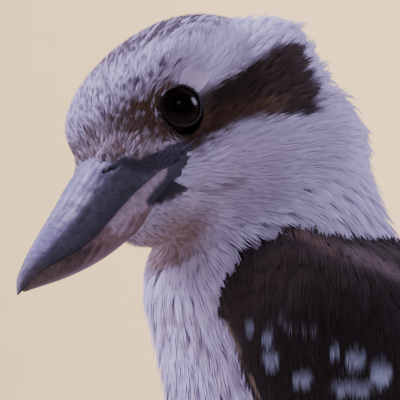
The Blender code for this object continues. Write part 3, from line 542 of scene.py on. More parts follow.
def plumage(points, rng):
    """Colour of the plumage at points, with each feather's own small differences."""
    n = len(points)
    side = to_head(points)
    flat = side[:, [0, 2]]
    forward, left, up = side[:, 0], np.abs(side[:, 1]), side[:, 2]
    x, y, z = points.T

    def some(share):
        """1 for a share of the feathers, picked at random."""
        return rng.random(n) < share

    def uneven(low, span):
        """A strength of each feather's own."""
        return low + span * rng.random(n)

    # Brown flecks are close on the forehead and sparse towards the crown
    head = 1 - step(below_head(points), -6, 14)
    forehead = step(forward, -12, 14) * step(up, 4, 14) * head
    washed = spread(flat, FACE_WASH, 6.0) * head
    # The crown's dark feathers stand in wavering rows about 3 mm apart that run along the head
    row = 0.5 + 0.5 * np.sin(side[:, 1] * 2.1 + 0.9 * np.sin(forward * 0.35))
    crown = 1 - step(left - interpolate(CROWN_HALF_WIDTH, forward) - 2.5 * row, -4, 1.5)
    crown = crown * step(up, 21, 25) * step(-forward, -8, 2)
    lores = spread(flat, LORES, 4.0) * head * (0.8 + 0.2 * (1 - step(forward, 10, 20)))
    socket = 1 - step(np.hypot(forward - EYE_APEX[0], up - EYE_APEX[2] + 1.2), 6.8, 8.8)
    ear = spread(flat, EAR_PATCH, 3.0) * step(left, 6, 10) * head
    mottled = spread(flat, MOTTLED, 2.0) * step(left, 10, 13) * head
    bare = bare_share(side)
    gape = spread(flat, GAPE_SKIN, 1.0) * step(left, 4, 7)
    # Painted shadow along the crease of the cheek
    crease_shadow = near_line(flat, CHEEK_CREASE_SHADOW, 1.5) * step(left, 4, 7)
    # Tan smudge under the chin
    aside = np.maximum(np.abs(y + 20) - 9, 0) / 16
    smudge = 1 - step(np.sqrt(((x + 5) / 16) ** 2 + ((z + 21) / 14) ** 2 + aside ** 2), 0.55, 1.25)
    # Dark mantle behind the white collar, and the brown back's barred rump
    s, down = WING.on_wing(points)
    mantle = step(s - interpolate(MANTLE_FRONT, down), -1.6, 1.2)
    mantle = mantle * step(interpolate(MANTLE_FOOT, s) - down, -1, 3)
    bars = 0.5 + 0.5 * np.sin((x + 0.4 * z) * 0.9)
    # Faint bars on the flanks, buff under the tail and flecks on the breast
    flank = step(-z, 50, 75) * step(np.abs(y), 14, 24) * (1 - mantle)
    vent = step(x, 80, 125) * (1 - mantle)
    breast = step(-z, 20, 45) * (1 - step(x, 40, 70)) * (1 - mantle)
    dark, tan = chosen("ear_band"), chosen("chin_smudge")
    colour = paint(chosen("white"), (
        (SHADED_WHITE, 0.35 * rng.random(n)),
        (FLECK_BROWN, some(0.30 * forehead) * uneven(0.35, 0.6)),
        (WASH, 0.8 * washed * uneven(0.5, 0.5)),
        (FLECK_BROWN, some(0.22 * washed) * uneven(0.3, 0.5)),
        (chosen("crown"), crown * np.where(some(0.35 + 0.75 * row), 0.9, 0.15)),
        (LORE_BROWN, lores * (1 - 0.55 * some(0.25))),
        (dark * 0.7, 0.7 * socket * head),
        (mix(dark, RUFOUS_BROWN, spread(flat, RUFOUS, 5.0) * uneven(0.3, 0.6)), ear),
        (CHEEK_SHADE, 0.4 * step(-up, 2, 12) * step(forward, -22, -4) * head),
        (LORE_BROWN, mottled * some(0.5) * uneven(0.5, 0.5)),
        (BARE_SKIN, bare),
        (PATCH_SKIN, bare * spread(flat, MALAR_SKIN, 1.0)),
        (LORE_BROWN, 0.9 * gape),
        # Painted shadow along the cheek's crease
        (tan * 0.6, 0.5 * crease_shadow),
        (tan, 0.95 * smudge * step(-up, 1, 6) * uneven(0.7, 0.3)),
        (chosen("mantle"), mantle * uneven(0.9, 0.1)),
        (RUMP_BROWN, mantle * step(x, 84, 105) * (0.35 + 0.5 * bars)),
        (tan, flank * some(0.3) * 0.5),
        (BUFF, 0.5 * vent),
        (tan, breast * some(0.16) * 0.4),
    ))
    return colour * (0.94 + 0.10 * rng.random((n, 1)))


def raw_points(obj):
    """The points of a mesh as they are stored."""
    co = np.empty(len(obj.data.vertices) * 3)
    obj.data.vertices.foreach_get("co", co)
    return co.reshape(-1, 3)


def points_of(obj):
    """The points of a mesh in millimetres."""
    return (raw_points(obj) - START) / MM


def set_points(obj, points):
    obj.data.vertices.foreach_set("co", place(points).astype(np.float32).ravel())
    obj.data.update()


def corner_points(mesh):
    """The point that each face corner belongs to."""
    corners = np.empty(len(mesh.loops), np.int32)
    mesh.loops.foreach_get("vertex_index", corners)
    return corners


def add_map(mesh, name, values):
    """A UV map with one value for each face corner."""
    layer = mesh.uv_layers.new(name=name)
    layer.uv.foreach_set("vector", np.asarray(values, np.float32).ravel())


def dress(obj, tint, vane=None, patch=None):
    """Gives a mesh its colours and maps, one value for each of its points."""
    mesh = obj.data
    corners = corner_points(mesh)
    for name, values in (("OFBake", patch), ("Vane", vane)):
        if values is not None:
            add_map(mesh, name, np.asarray(values, np.float32)[corners])
    colours = np.ones((len(mesh.vertices), 4), np.float32)
    colours[:, :3] = tint
    layer = mesh.color_attributes.new("Tint", "FLOAT_COLOR", "POINT")
    layer.data.foreach_set("color", colours.ravel())


def shown(name, vertices, triangles, tint, vane, patch):
    """A mesh object from arrays, placed in the frame, with its colours and maps."""
    mesh = bpy.data.meshes.new(name)
    count = len(triangles)
    mesh.vertices.add(len(vertices))
    mesh.vertices.foreach_set("co", place(vertices).astype(np.float32).ravel())
    mesh.loops.add(count * 3)
    mesh.loops.foreach_set("vertex_index", np.asarray(triangles, np.int32).ravel())
    mesh.polygons.add(count)
    mesh.polygons.foreach_set("loop_start", np.arange(0, count * 3, 3, dtype=np.int32))
    mesh.polygons.foreach_set("use_smooth", np.full(count, True))
    mesh.update(calc_edges=True)
    obj = bpy.data.objects.new(name, mesh)
    bpy.context.scene.collection.objects.link(obj)
    dress(obj, tint, vane, patch)
    return obj


def triangles_of(obj):
    """The triangles of a mesh, as point numbers."""
    obj.data.calc_loop_triangles()
    found = np.empty(len(obj.data.loop_triangles) * 3, np.int32)
    obj.data.loop_triangles.foreach_get("vertices", found)
    return found.reshape(-1, 3)


def clear_selection():
    if bpy.context.object and bpy.context.object.mode != "OBJECT":
        bpy.ops.object.mode_set(mode="OBJECT")
    bpy.ops.object.select_all(action="DESELECT")


def take(obj):
    """Makes an object the only one that operators act on."""
    clear_selection()
    bpy.context.view_layer.objects.active = obj
    obj.select_set(True)


def named(name):
    """The new primitive under its name, smooth and without its own map."""
    obj = bpy.context.object
    obj.name = name
    obj.data.name = name
    bpy.ops.object.shade_smooth()
    while obj.data.uv_layers:
        obj.data.uv_layers.remove(obj.data.uv_layers[0])
    return obj


def ball(name, segments, rings):
    """A sphere primitive of radius 1 at the frame's origin, ready to be shaped."""
    clear_selection()
    bpy.ops.mesh.primitive_uv_sphere_add(
        segments=segments, ring_count=rings, radius=1.0, location=(0, 0, 0))
    return named(name)


def edit_all(obj, operator, **settings):
    """Runs an edit mode operator on the whole of a mesh."""
    take(obj)
    bpy.ops.object.mode_set(mode="EDIT")
    bpy.ops.mesh.select_all(action="SELECT")
    operator(**settings)
    bpy.ops.object.mode_set(mode="OBJECT")


def apply(obj, kind, **settings):
    """Adds a modifier and applies it."""
    take(obj)
    made = obj.modifiers.new(kind.title(), kind)
    for key, value in settings.items():
        setattr(made, key, value)
    bpy.ops.object.modifier_apply(modifier=made.name)


def shape_ball(name, segments, rings, shape):
    """A sphere primitive drawn out by a function of how far along it is and the angle around."""
    obj = ball(name, segments, rings)
    co = raw_points(obj)
    along = np.arccos(np.clip(co[:, 2], -1, 1)) / math.pi
    around = np.arctan2(co[:, 1], co[:, 0])
    set_points(obj, shape(along, around))
    edit_all(obj, bpy.ops.mesh.normals_make_consistent, inside=False)
    return obj, along, around


def copied(node, name):
    """A copy of a CAD node's mesh with its loose triangles joined."""
    obj = bpy.data.objects.new(name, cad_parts[node].data.copy())
    bpy.context.scene.collection.objects.link(obj)
    obj.hide_render = False
    edit_all(obj, bpy.ops.mesh.remove_doubles, threshold=WELD)
    return obj


def finish_piece(obj, material, slot, *nodes):
    """Gives a piece its material, its body and the CAD nodes that it replaces; the slot is not
    used.
    """
    obj.data.materials.clear()
    obj.data.materials.append(material)
    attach(obj, "root")
    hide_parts(*nodes)


SPINE_POINTS = np.array([(back, 0.0, up) for back, up in SPINE], float)
SPINE_POINTS[0] = from_head((30.0, 0.0, 2.0))
SPINE_POINTS[1] = from_head((-12.0, 0.0, 10.0))
BILL_BASE = from_head((27.0, 0.0, 4.0))


def unwrap(points):
    """Place on a flat map of the body: around its spine and along it, both from 0 to 1."""
    best = np.full(len(points), 1e9)
    along = np.zeros(len(points))
    angle = np.zeros(len(points))
    start = 0.0
    for a, b in zip(SPINE_POINTS, SPINE_POINTS[1:]):
        edge = b - a
        length = np.linalg.norm(edge)
        t, away = to_edge(points, a, b)
        distance = np.linalg.norm(away, axis=1)
        up = unit(np.cross(np.cross(edge, (0.3, 0.0, 1.0)), edge))
        side = np.cross(unit(edge), up)
        near = distance < best
        best = np.where(near, distance, best)
        along = np.where(near, start + t * length, along)
        angle = np.where(near, np.arctan2(away @ side, away @ up), angle)
        start += length
    return np.stack([0.03 + 0.94 * (angle / math.tau + 0.5), 0.03 + 0.94 * along / start], 1)


def lie_of(points):
    """Direction in which feathers lie: away from the bill on the head, then towards the tail."""
    away = unit(points - BILL_BASE)
    best = np.full(len(points), 1e9)
    along = np.zeros((len(points), 3))
    ways = [unit(b - a) for a, b in zip(SPINE_POINTS[2:], SPINE_POINTS[3:])]
    for a, b, way, ahead in zip(SPINE_POINTS[2:], SPINE_POINTS[3:], ways, ways[1:] + [np.zeros(3)]):
        t, off = to_edge(points, a, b)
        distance = np.linalg.norm(off, axis=1)
        heading = unit(way * (1 - t[:, None] * 0.5) + ahead * t[:, None] * 0.5)
        near = distance < best
        best = np.where(near, distance, best)
        along = np.where(near[:, None], heading, along)
    share = step(below_head(points), -10, 26)[:, None]
    return away * (1 - share) + along * share


def strand_template(strips, segments, fan, rng, loose=1.0):
    """Feathers made of narrow strips that fan out from the root, in a few kinds."""
    points, faces = [], []
    for j in range(strips):
        middle = (j + 0.5) / strips * 2 - 1
        half = 1.35 / strips
        first = len(points)
        for k in range(segments):
            v = k / segments
            opened = fan + (1 - fan) * math.sin(min(v * 1.25, 1.0) * math.pi / 2)
            wide = half * (1 - 0.65 * v ** 2)
            points += [((middle + s * wide) * opened, v, j) for s in (-1, 1)]
        points.append((middle, 1.0, j))
        for a in range(first, len(points) - 3, 2):
            faces += [(a, a + 1, a + 3), (a, a + 3, a + 2)]
        faces.append((len(points) - 3, len(points) - 2, len(points) - 1))
    points = np.array(points, float)
    strip = points[:, 2].astype(int)
    middle = ((np.arange(strips) + 0.5) / strips * 2 - 1)[strip]
    kinds = []
    for _ in range(FEATHER_KINDS):
        ends = (1 - 0.30 * middle ** 2) * (1 - 0.22 * loose * rng.random(strips)[strip])
        bend = (rng.random(strips)[strip] - 0.5) * 0.5 * loose
        across = points[:, 0] + bend * points[:, 1] ** 2
        kinds.append(np.stack([across, points[:, 1] * ends], 1))
    return np.array(kinds), np.array(faces)


def show_feathers(name, points, faces, pattern, width, length, colours, centre, rng):
    """One mesh of many feathers, each with its patch at its root's place and its own barbs."""
    n, count = pattern.shape[:2]
    across, along = pattern[..., 0], pattern[..., 1]
    patch = centre[:, None] + np.stack([across * 0.25 + 0.5, along], -1) * PATCH
    size = np.stack([width / 20, length / 10], -1)
    vane = pattern * size[:, None] + rng.random((n, 1))[..., None] * 40
    triangles = (faces[None] + (np.arange(n) * count)[:, None, None]).reshape(-1, 3)
    flat = [values.reshape(n * count, -1) for values in (points, colours, vane, patch)]
    return shown(name, flat[0], triangles, *flat[1:])


def coat(name, roots, lies, length, width, tip, strips, streaked, rng):
    """Feathers over the body: each rises from its root under the coat to its tip."""
    n = len(roots)
    kinds, faces = strand_template(strips, 3, 0.45, rng)
    normals = slope_of(coat_form, roots)
    lies = unit(lies - np.sum(lies * normals, 1, keepdims=True) * normals)
    sides = np.cross(normals, lies)
    turn = rng.normal(0, 0.11, n)[:, None]
    lies, sides = (
        lies * np.cos(turn) + sides * np.sin(turn), sides * np.cos(turn) - lies * np.sin(turn))
    length = length * (0.85 + 0.3 * rng.random(n))
    pattern = kinds[rng.integers(0, len(kinds), n)]
    across, along = pattern[..., 0], pattern[..., 1]
    points = (
        roots[:, None]
        + lies[:, None] * (along * length[:, None])[..., None]
        + sides[:, None] * (across * width[:, None] / 2)[..., None]
    )
    depth = skin_depth(roots)
    rise = (depth + tip * (0.6 + 0.8 * rng.random(n)))[:, None] * along ** 0.75 - depth[:, None]
    rise = rise - 0.10 * width[:, None] * across ** 2
    for _ in range(2):
        lift = rise - coat_form(points.reshape(-1, 3)).reshape(rise.shape)
        points = points + lift[..., None] * normals[:, None]
    colour = plumage(roots + lies * (0.65 * length)[:, None], rng)
    # Painted shade: each feather darkens towards its root, which the feathers ahead of it cover
    colours = colour[:, None] * (0.80 + 0.20 * step(along, 0.0, 0.55))[..., None]
    if streaked:
        dark = shaft_streaks(roots) * (rng.random(n) < 0.75) * (0.5 + 0.5 * rng.random(n))
        shaft = (1 - step(np.abs(across), 0.2, 0.5)) * step(along, 0.35, 0.55)
        colours = mix(colours, FLECK_BROWN, dark[:, None] * shaft * (1 - step(along, 0.75, 0.95)))
    return show_feathers(
        name, points, faces, pattern, width, length, colours, unwrap(roots), rng)


def scatter(obj, gap, wanted, rng):
    """Points spread at random over a mesh's triangles, no closer to each other than a gap."""
    a, b, c = np.moveaxis(points_of(obj)[triangles_of(obj)], 1, 0)
    keep = wanted((a + b + c) / 3)
    a, b, c = a[keep], b[keep], c[keep]
    weight = np.linalg.norm(np.cross(b - a, c - a), axis=1) / 2 / gap ** 2
    count = int(3.5 * weight.sum())
    picked = rng.choice(len(a), count, p=weight / weight.sum())
    u, v = rng.random(count), rng.random(count)
    over = u + v > 1
    u, v = np.where(over, 1 - u, u), np.where(over, 1 - v, v)
    spots = a[picked] + u[:, None] * (b - a)[picked] + v[:, None] * (c - a)[picked]
    beside = tuple(itertools.product((-1, 0, 1), repeat=3))
    cells = {}
    kept = []
    for i, (spot, (p, q, r)) in enumerate(zip(spots.tolist(), np.floor(spots / gap).tolist())):
        others = (
            other for dp, dq, dr in beside
            for other in cells.get((p + dp, q + dq, r + dr), ()))
        if all(math.dist(spot, other) >= gap for other in others):
            cells.setdefault((p, q, r), []).append(spot)
            kept.append(i)
    return spots[kept]


def skin_depth(points):
    """How far the skin lies under the plumage's outer surface."""
    local = to_head(points)
    face = step(local[:, 0], -4, 18) * (1 - step(np.linalg.norm(local, axis=1), 40, 60))
    trunk = step(below_head(points), 0, 40) * (1 - step(-points[:, 2], 120, 135))
    depth = 2.2 - 1.1 * face + 1.8 * trunk
    for hand in (1, -1):
        height, off = lid_place(points, hand)
        depth = depth + (0.45 - depth) * (1 - step(off, 7.5, 10.5)) * (height > -9)
    return depth + (0.35 - depth) * bare_share(local)


def body_forms():
    """Centre, axes and half sizes of the round forms of head, neck, trunk and thighs."""
    forms = [(from_head((f[0], 0.0, f[1])), HEAD_AXES, np.array(f[2:])) for f in HEAD_FORMS]
    rounds = [(NECK, TRUNK[0], NECK_NARROWING)]
    rounds += [(a, b, TRUNK_NARROWING) for a, b in zip(TRUNK, TRUNK[1:])]
    for a, b, narrow in rounds:
        for t in np.linspace(0, 1, 8):
            back, up, radius = np.array(a) + (np.array(b) - np.array(a)) * t
            sizes = np.array([radius, radius / narrow, radius])
            forms.append((np.array([back, 0.0, up]), np.eye(3), sizes))
    for a, b, ra, rb in thigh_cones():
        for t in (0.0, 0.5, 1.0):
            forms.append((a + (b - a) * t, np.eye(3), np.full(3, ra + (rb - ra) * t)))
    return forms


def build_skin():
    """Skin of head, neck, trunk and thighs as one closed surface, grown from round forms."""
    balls = []
    for centre, axes, sizes in body_forms():
        obj = ball("form", 24, 14)
        set_points(obj, centre + (raw_points(obj) * sizes) @ axes)
        balls.append(obj)
    take(balls[0])
    for obj in balls:
        obj.select_set(True)
    bpy.ops.object.join()
    skin = named("skin")
    apply(skin, "REMESH", mode="VOXEL", voxel_size=SKIN_VOXEL)
    points = settle_on(coat_form, points_of(skin), 0.0)
    points = points - skin_depth(points)[:, None] * slope_of(coat_form, points)
    set_points(skin, points)
    bpy.ops.object.shade_smooth()
    # The map's seam runs along the belly, so a face that crosses it keeps to the side it starts on
    mesh = skin.data
    loops = unwrap(points)[corner_points(mesh)]
    starts = np.empty(len(mesh.polygons), np.int32)
    mesh.polygons.foreach_get("loop_start", starts)
    owner = np.searchsorted(starts, np.arange(len(loops)), side="right") - 1
    jump = loops[:, 0] - loops[starts][owner, 0]
    loops[:, 0] = np.select([jump > 0.5, jump < -0.5], [0.03, 0.97], loops[:, 0])
    add_map(mesh, "OFBake", loops)
    # Painted shade: the skin takes the plumage's colour, darkened because it lies under the
    # feathers
    dress(skin, plumage(points, np.random.default_rng(11)) * 0.8)
    finish_piece(
        skin, feather_material(), "white_plumage",
        "head", "neck", "torso", "thigh_left", "thigh_right")
    return skin


def rootable(points):
    """Where feathers may root: not in the bill, the lids or under the folded wings."""
    local = to_head(points)
    outer = to_head(points + skin_depth(points)[:, None] * slope_of(coat_form, points))
    free = ~in_bill(outer, 0.15)
    free &= spread(local[:, [0, 2]], MALAR_SKIN, 1.0) * step(np.abs(local[:, 1]), 4, 6) < 0.5
    for hand in (1, -1):
        height, off = lid_place(points, hand)
        free &= (off > LID_WIDTH + 0.1) | (height < -9)
    s, down = WING.on_wing(points)
    under = (s > -16) & (s < 60) & (down > interpolate(SHOULDER_TOP, s) + 5)
    under &= down < interpolate(SHOULDER_LOW_EDGE, s) - 6
    under |= (s > 55) & (s < 150) & (down > 14) & (down < 50) & (flesh(points) < 6)
    return free & ~(under & (points[:, 0] > 12))


def steer(points, lies):
    """Turns the feathers around the eyes instead of across them, and gives each one's room."""
    room = np.full(len(points), 99.0)
    for hand in (1, -1):
        out = eye_axes(hand)[2]
        away = points - eye_apex(hand)
        flat = away - (away @ out)[:, None] * out
        off = np.linalg.norm(flat, axis=1)
        near = (1 - step(off, 8.5, 15)) * (np.abs(away @ out) < 14)
        radial = flat / np.maximum(off, 1e-6)[:, None]
        inward = np.minimum(np.sum(lies * radial, 1), 0)
        lies = lies - (near * inward * 1.12)[:, None] * radial
        clear = np.minimum(room, np.maximum((off - 6.2) * 1.3, 1.1))
        room = np.where((near > 0.05) & (inward < -0.2), clear, room)
    return unit(lies), room


def coat_region(points):
    """Piece of the coat that points belong to: face, crown, neck and trunk from 0 to 3."""
    below = below_head(points)
    face = (below < 4) & (to_head(points)[:, 0] > -12)
    return np.select([face, below < 4, below < 42], [0, 1, 2], 3)


def head_length(points):
    """Length of the feathers: shortest at the bill, longest on the hind crown."""
    local = to_head(points)
    back, down = -local[:, 0], -local[:, 2]
    length = 3.6 + 4.4 * step(back, -14, 12) + 7.5 * step(back, 28, 47)
    length = length + 2.5 * step(down, 2, 14) * step(back, -26, -6)
    return length * (1 - 0.6 * bare_share(local))


def body_length(points):
    """Length of the feathers: long on the breast, short on the thighs and under the tail."""
    length = 11 + 5 * step(below_head(points), 5, 45)
    length = length * (1 - 0.45 * step(flesh(points) - thighs(points), 0, 6))
    return length * (1 - 0.5 * step(-points[:, 2], 128, 150))


def tip_height(region, points, rng):
    """How far the feathers' tips stand over the coat: loosest on the hind crown."""
    if region == 0:
        return np.full(len(points), 0.25)
    if region == 1:
        shaggy = step(-to_head(points)[:, 0], 28, 49)
        return 0.35 + 3.4 * shaggy * rng.random(len(points)) ** 2
    return 0.5 + 0.8 * rng.random(len(points)) ** 3


def build_coats(skin, spacings):
    """Feathers of head and body, in pieces small enough to keep their meshes whole."""
    for region, ((name, seed, wide, strips), gap) in enumerate(zip(COAT_PIECES, spacings)):
        rng = np.random.default_rng(seed)
        on_head = region < 2
        roots = scatter(skin, gap, lambda p: rootable(p) & (coat_region(p) == region), rng)
        lies, room = steer(roots, lie_of(roots))
        length = np.minimum((head_length if on_head else body_length)(roots), room)
        width = wide * np.minimum(1, 0.4 + length / 10)
        tip = tip_height(region, roots, rng)
        obj = coat(name, roots, lies, length, width, tip, strips, on_head, rng)
        finish_piece(obj, feather_material(), "white_plumage", "head" if on_head else "torso")


def in_bill(local, grow):
    """Whether points lie in the bill, made larger by a little."""
    f, side, up = local.T
    mouth = interpolate(MOUTH_LINE, f)
    wide = interpolate(BILL_HALF_WIDTH, f) + grow
    rise = np.maximum(interpolate(CULMEN_LINE, f) - mouth, 0.5) + grow
    drop = np.maximum(mouth - interpolate(LOWER_LINE, f), 0.5) + grow
    power = 2 / np.where(up > mouth, interpolate(RIDGE_SHARPNESS, f), LOWER_SHARPNESS)
    reach = np.where(up > mouth, (up - mouth) / rise, (mouth - up) / drop)
    return (f > -2) & (f < 76) & ((np.abs(side) / wide) ** power + reach ** power < 1)


def between(table, i, j):
    """Values of a table at places between its rows and columns."""
    i = np.clip(i, 0, table.shape[0] - 1.001)
    j = np.clip(j, 0, table.shape[1] - 1.001)
    i0, j0 = i.astype(int), j.astype(int)
    shape = i.shape + (1,) * (table.ndim - 2)
    u, v = (i - i0).reshape(shape), (j - j0).reshape(shape)
    near = table[i0, j0] * (1 - v) + table[i0, j0 + 1] * v
    far = table[i0 + 1, j0] * (1 - v) + table[i0 + 1, j0 + 1] * v
    return near * (1 - u) + far * u


class WingForm:
    """Places over the bird's left side: along the folded wing, and down from the back's middle."""

    def __init__(self):
        self.axis = np.array([math.cos(WING_SLOPE), 0.0, -math.sin(WING_SLOPE)])
        self.up = np.array([math.sin(WING_SLOPE), 0.0, math.cos(WING_SLOPE)])
        self.start = np.array([WING_START[0], 0.0, WING_START[1]])
        self.angles = np.radians(np.linspace(90, -80, 86))
        left = np.array([0.0, -1.0, 0.0])
        directions = np.cos(self.angles)[:, None] * left + np.sin(self.angles)[:, None] * self.up
        self.lengths = np.zeros((len(WING_KNOTS), len(self.angles)))
        self.grid = np.zeros((len(WING_KNOTS), len(DOWN_KNOTS), 3))
        for i, s in enumerate(WING_KNOTS):
            origin = self.start + s * self.axis
            reach = np.zeros(len(self.angles))
            for _ in range(40):
                distance = saddle(origin + reach[:, None] * directions)
                reach = np.maximum(reach - 0.9 * distance, 0.2)
            points = origin + reach[:, None] * directions
            self.lengths[i, 1:] = np.cumsum(np.linalg.norm(np.diff(points, axis=0), axis=1))
            for c in range(3):
                self.grid[i, :, c] = np.interp(DOWN_KNOTS, self.lengths[i], points[:, c])
        across, along = np.gradient(self.grid, axis=1), np.gradient(self.grid, axis=0)
        self.normals = unit(np.cross(across, along))

    def row_of(self, s):
        return (s - WING_KNOTS[0]) / (WING_KNOTS[1] - WING_KNOTS[0])

    def at(self, s, down, height, mirror):
        """Points at a height over the saddle, and outward directions, for arrays of places."""
        s, down = np.broadcast_arrays(np.asarray(s, float), np.asarray(down, float))
        i, j = self.row_of(s), down / DOWN_KNOTS[1]
        normals = unit(between(self.normals, i, j))
        points = between(self.grid, i, j) + normals * height[..., None]
        hand = np.array([1, -1, 1]) if mirror else 1
        return points * hand, normals * hand

    def on_wing(self, points):
        """Place along and down the wing of points near it, the same for both sides."""
        s = (points - self.start) @ self.axis
        angle = np.arctan2((points - self.start) @ self.up, np.abs(points[:, 1]))
        column = (self.angles[0] - angle) / (self.angles[0] - self.angles[1])
        return s, between(self.lengths, self.row_of(s), column)


WING = WingForm()


def slab(grid, normals, thickness, vane, patch, tint):
    """A thin closed vane over a grid of points."""
    rows, columns = grid.shape[:2]
    count = rows * columns
    index = np.arange(count).reshape(rows, columns)
    a, b = index[:-1, :-1].ravel(), index[1:, :-1].ravel()
    c, d = index[1:, 1:].ravel(), index[:-1, 1:].ravel()
    upper = np.concatenate([np.stack([a, c, b], 1), np.stack([a, d, c], 1)])
    ring = np.concatenate([index[0, :-1], index[:-1, -1], index[-1, :0:-1], index[:0:-1, 0]])
    after = np.roll(ring, -1)
    rim = [
        np.stack([ring, ring + count, after + count], 1),
        np.stack([ring, after + count, after], 1),
    ]
    faces = np.concatenate([upper, upper[:, ::-1] + count, *rim])
    points = np.concatenate([grid.reshape(-1, 3), (grid - normals * thickness).reshape(-1, 3)])
    p, q, r = np.moveaxis(points[upper], 1, 0)
    if np.sum(np.cross(q - p, r - p) * normals.reshape(-1, 3)[upper[:, 0]]) < 0:
        faces = faces[:, ::-1]
    both = [np.concatenate([m.reshape(count, -1)] * 2) for m in (tint, vane, patch)]
    # Painted shade: the underside of each vane is darker than its top
    both[0][count:] *= 0.6
    return [points, faces] + both


def gather(name, slabs):
    """One mesh from many vanes."""
    offsets = np.cumsum([0] + [len(s[0]) for s in slabs])
    faces = np.concatenate([s[1] + offset for s, offset in zip(slabs, offsets)])
    points, tint, vane, patch = (np.concatenate([s[k] for s in slabs]) for k in (0, 2, 3, 4))
    return shown(name, points, faces, tint, vane, patch)


def vane_sheet(rows, columns, crowding, raggedness, outline, rng):
    """Shares along and across a vane, its uneven half width and its raised shaft."""
    v = np.linspace(0, 1, rows) ** crowding
    across = np.linspace(-1, 1, columns)
    ragged = np.ones((rows, columns))
    for edge in (0, -1):
        ragged[:, edge] += rng.normal(0, raggedness, rows)
    reach = across * interpolate(outline, v)[:, None] * ragged
    across = np.broadcast_to(across, (rows, columns))
    shaft = np.clip(1 - np.abs(across) * columns / 2, 0, 1)
    return np.broadcast_to(v[:, None], (rows, columns)), across, reach, shaft


def vane_maps(number, side, inset, reach, across, v, along, rng):
    """The map of a vane's barbs, and its patch in a square of so many a side."""
    vane = np.stack([across * 0.5 + rng.random() * 30, along + rng.random() * 30], -1)
    cell = np.array([number % side, number // side]) / side
    patch = cell + inset + np.stack([across * 0.5 + 0.5, v], -1) * reach
    return vane, patch


def lines_at(lines, s):
    """Place of a tier's first vane and the spacing of the others, along the wing."""
    return [interpolate([(line[0], line[k]) for line in lines], s) for k in (1, 2)]


def front_height(s, down):
    """Height of the wing's rounded front over the body."""
    top, low = interpolate(SHOULDER_TOP, s), interpolate(SHOULDER_LOW_EDGE, s)
    share = np.clip((down - top) / (low - top), 0, 1)
    rise = np.maximum(interpolate(SHOULDER_HEIGHTS, s) - SHOULDER_EDGE_HEIGHT, 0.1)
    return SHOULDER_EDGE_HEIGHT + rise * np.interp(share, *SHOULDER_BULGE)


def tier_height(index, level):
    """Height of a tier over the saddle: 0 primaries, 1 secondaries, then the coverts over them."""
    if level == 0:
        return np.full(np.shape(index), INNER_TIER_HEIGHT)
    outer = INNER_TIER_HEIGHT + OUTER_TIER_RISE * step(index, 0.2, 2.2)
    return outer + (level - 1) * TIER_STEP


def wing_vanes(mirror, rng):
    """Flight feathers and coverts of one folded wing, in tiers, as closed vanes."""
    slabs = []

    def vane(lines, number, root, tip, half_width, level, colours, rows, outline, pale=0.0):
        first, spacing = (float(c) for c in lines_at(lines, root))
        root = max(root, float(interpolate(MANTLE_FRONT, first + number * spacing)) + 5)
        v, across, reach, shaft = vane_sheet(rows, 9, 0.9, 0.035, outline, rng)
        s = root + (tip - root) * v
        first, spacing = lines_at(lines, s)
        wide = np.minimum(half_width, spacing * 1.12 + 1.4 * step(s, 95, 150))
        down = np.maximum(first + number * spacing + reach * wide, 0.4)
        along = s - 1.6 * across ** 2 * step(v, 0.55, 1.0)
        index = (down - first) / spacing
        height = tier_height(index, level) + VANE_STEP * (index - number)
        height = height * step(along, root - 1, root + 13) + 0.2 * shaft + 0.16 * rng.random()
        colour = paint(colours[0] * (0.85 + 0.3 * rng.random()), (
            (colours[1], 0.55 * step(np.abs(across), 0.72, 1.0)),
            (0.0, 0.4 * shaft),
            (linear("#B9C9DA"), step(v, 0.80, 0.90) * (1 - 0.3 * np.abs(across)) * pale),
        ))
        points, normals = WING.at(along, down, height, mirror)
        maps = vane_maps(len(slabs), 20, 0.003, 0.044, across, v, v * 4.0, rng)
        slabs.append(slab(points, normals, WING_VANE_THICKNESS, *maps, colour))

    flight = (linear("#17100E"), linear("#3A2D27"))
    covert = (linear("#1D1411"), linear("#4A3A32"))
    for number, tip in enumerate(PRIMARY_TIPS):
        vane(PRIMARY_LINES, number, 52, tip, 6.4, 0, flight, 26, VANE_OUTLINE)
    for number, tip in enumerate(SECONDARY_TIPS):
        vane(SECONDARY_LINES, number, 52, tip, 6.6, 1, flight, 26, VANE_OUTLINE)
    for number, tip in enumerate(GREATER_COVERT_TIPS):
        pale = 0.75 * (rng.random() < 0.35)
        vane(SECONDARY_LINES, number, 30, tip, 6.4, 2, covert, 18, VANE_OUTLINE, pale)
    for number, tip in enumerate(MEDIAN_COVERT_TIPS):
        pale = 0.85 * (rng.random() < 0.4)
        vane(SECONDARY_LINES, number, 14, tip, 6.6, 3, covert, 16, COVERT_OUTLINE, pale)
    return slabs


def covert_bed(s, down):
    """Height over the saddle of what the wing's small soft feathers lie on."""
    first, spacing = lines_at(SECONDARY_LINES, s)
    index = (down - first) / spacing
    tiers = tier_height(index, 3) + 0.8
    tiers = tiers * step(s, 9, 23) * step(s - interpolate(MANTLE_FRONT, down), 2, 16)
    tiers = tiers * step(down, first - 14, first - 7) * (1 - step(index, 8.9, 9.4))
    top = interpolate(SHOULDER_TOP, s)
    front = front_height(s, down) * step(down, top - 7, top + 3)
    return np.maximum(np.maximum(front, tiers), 0.2)


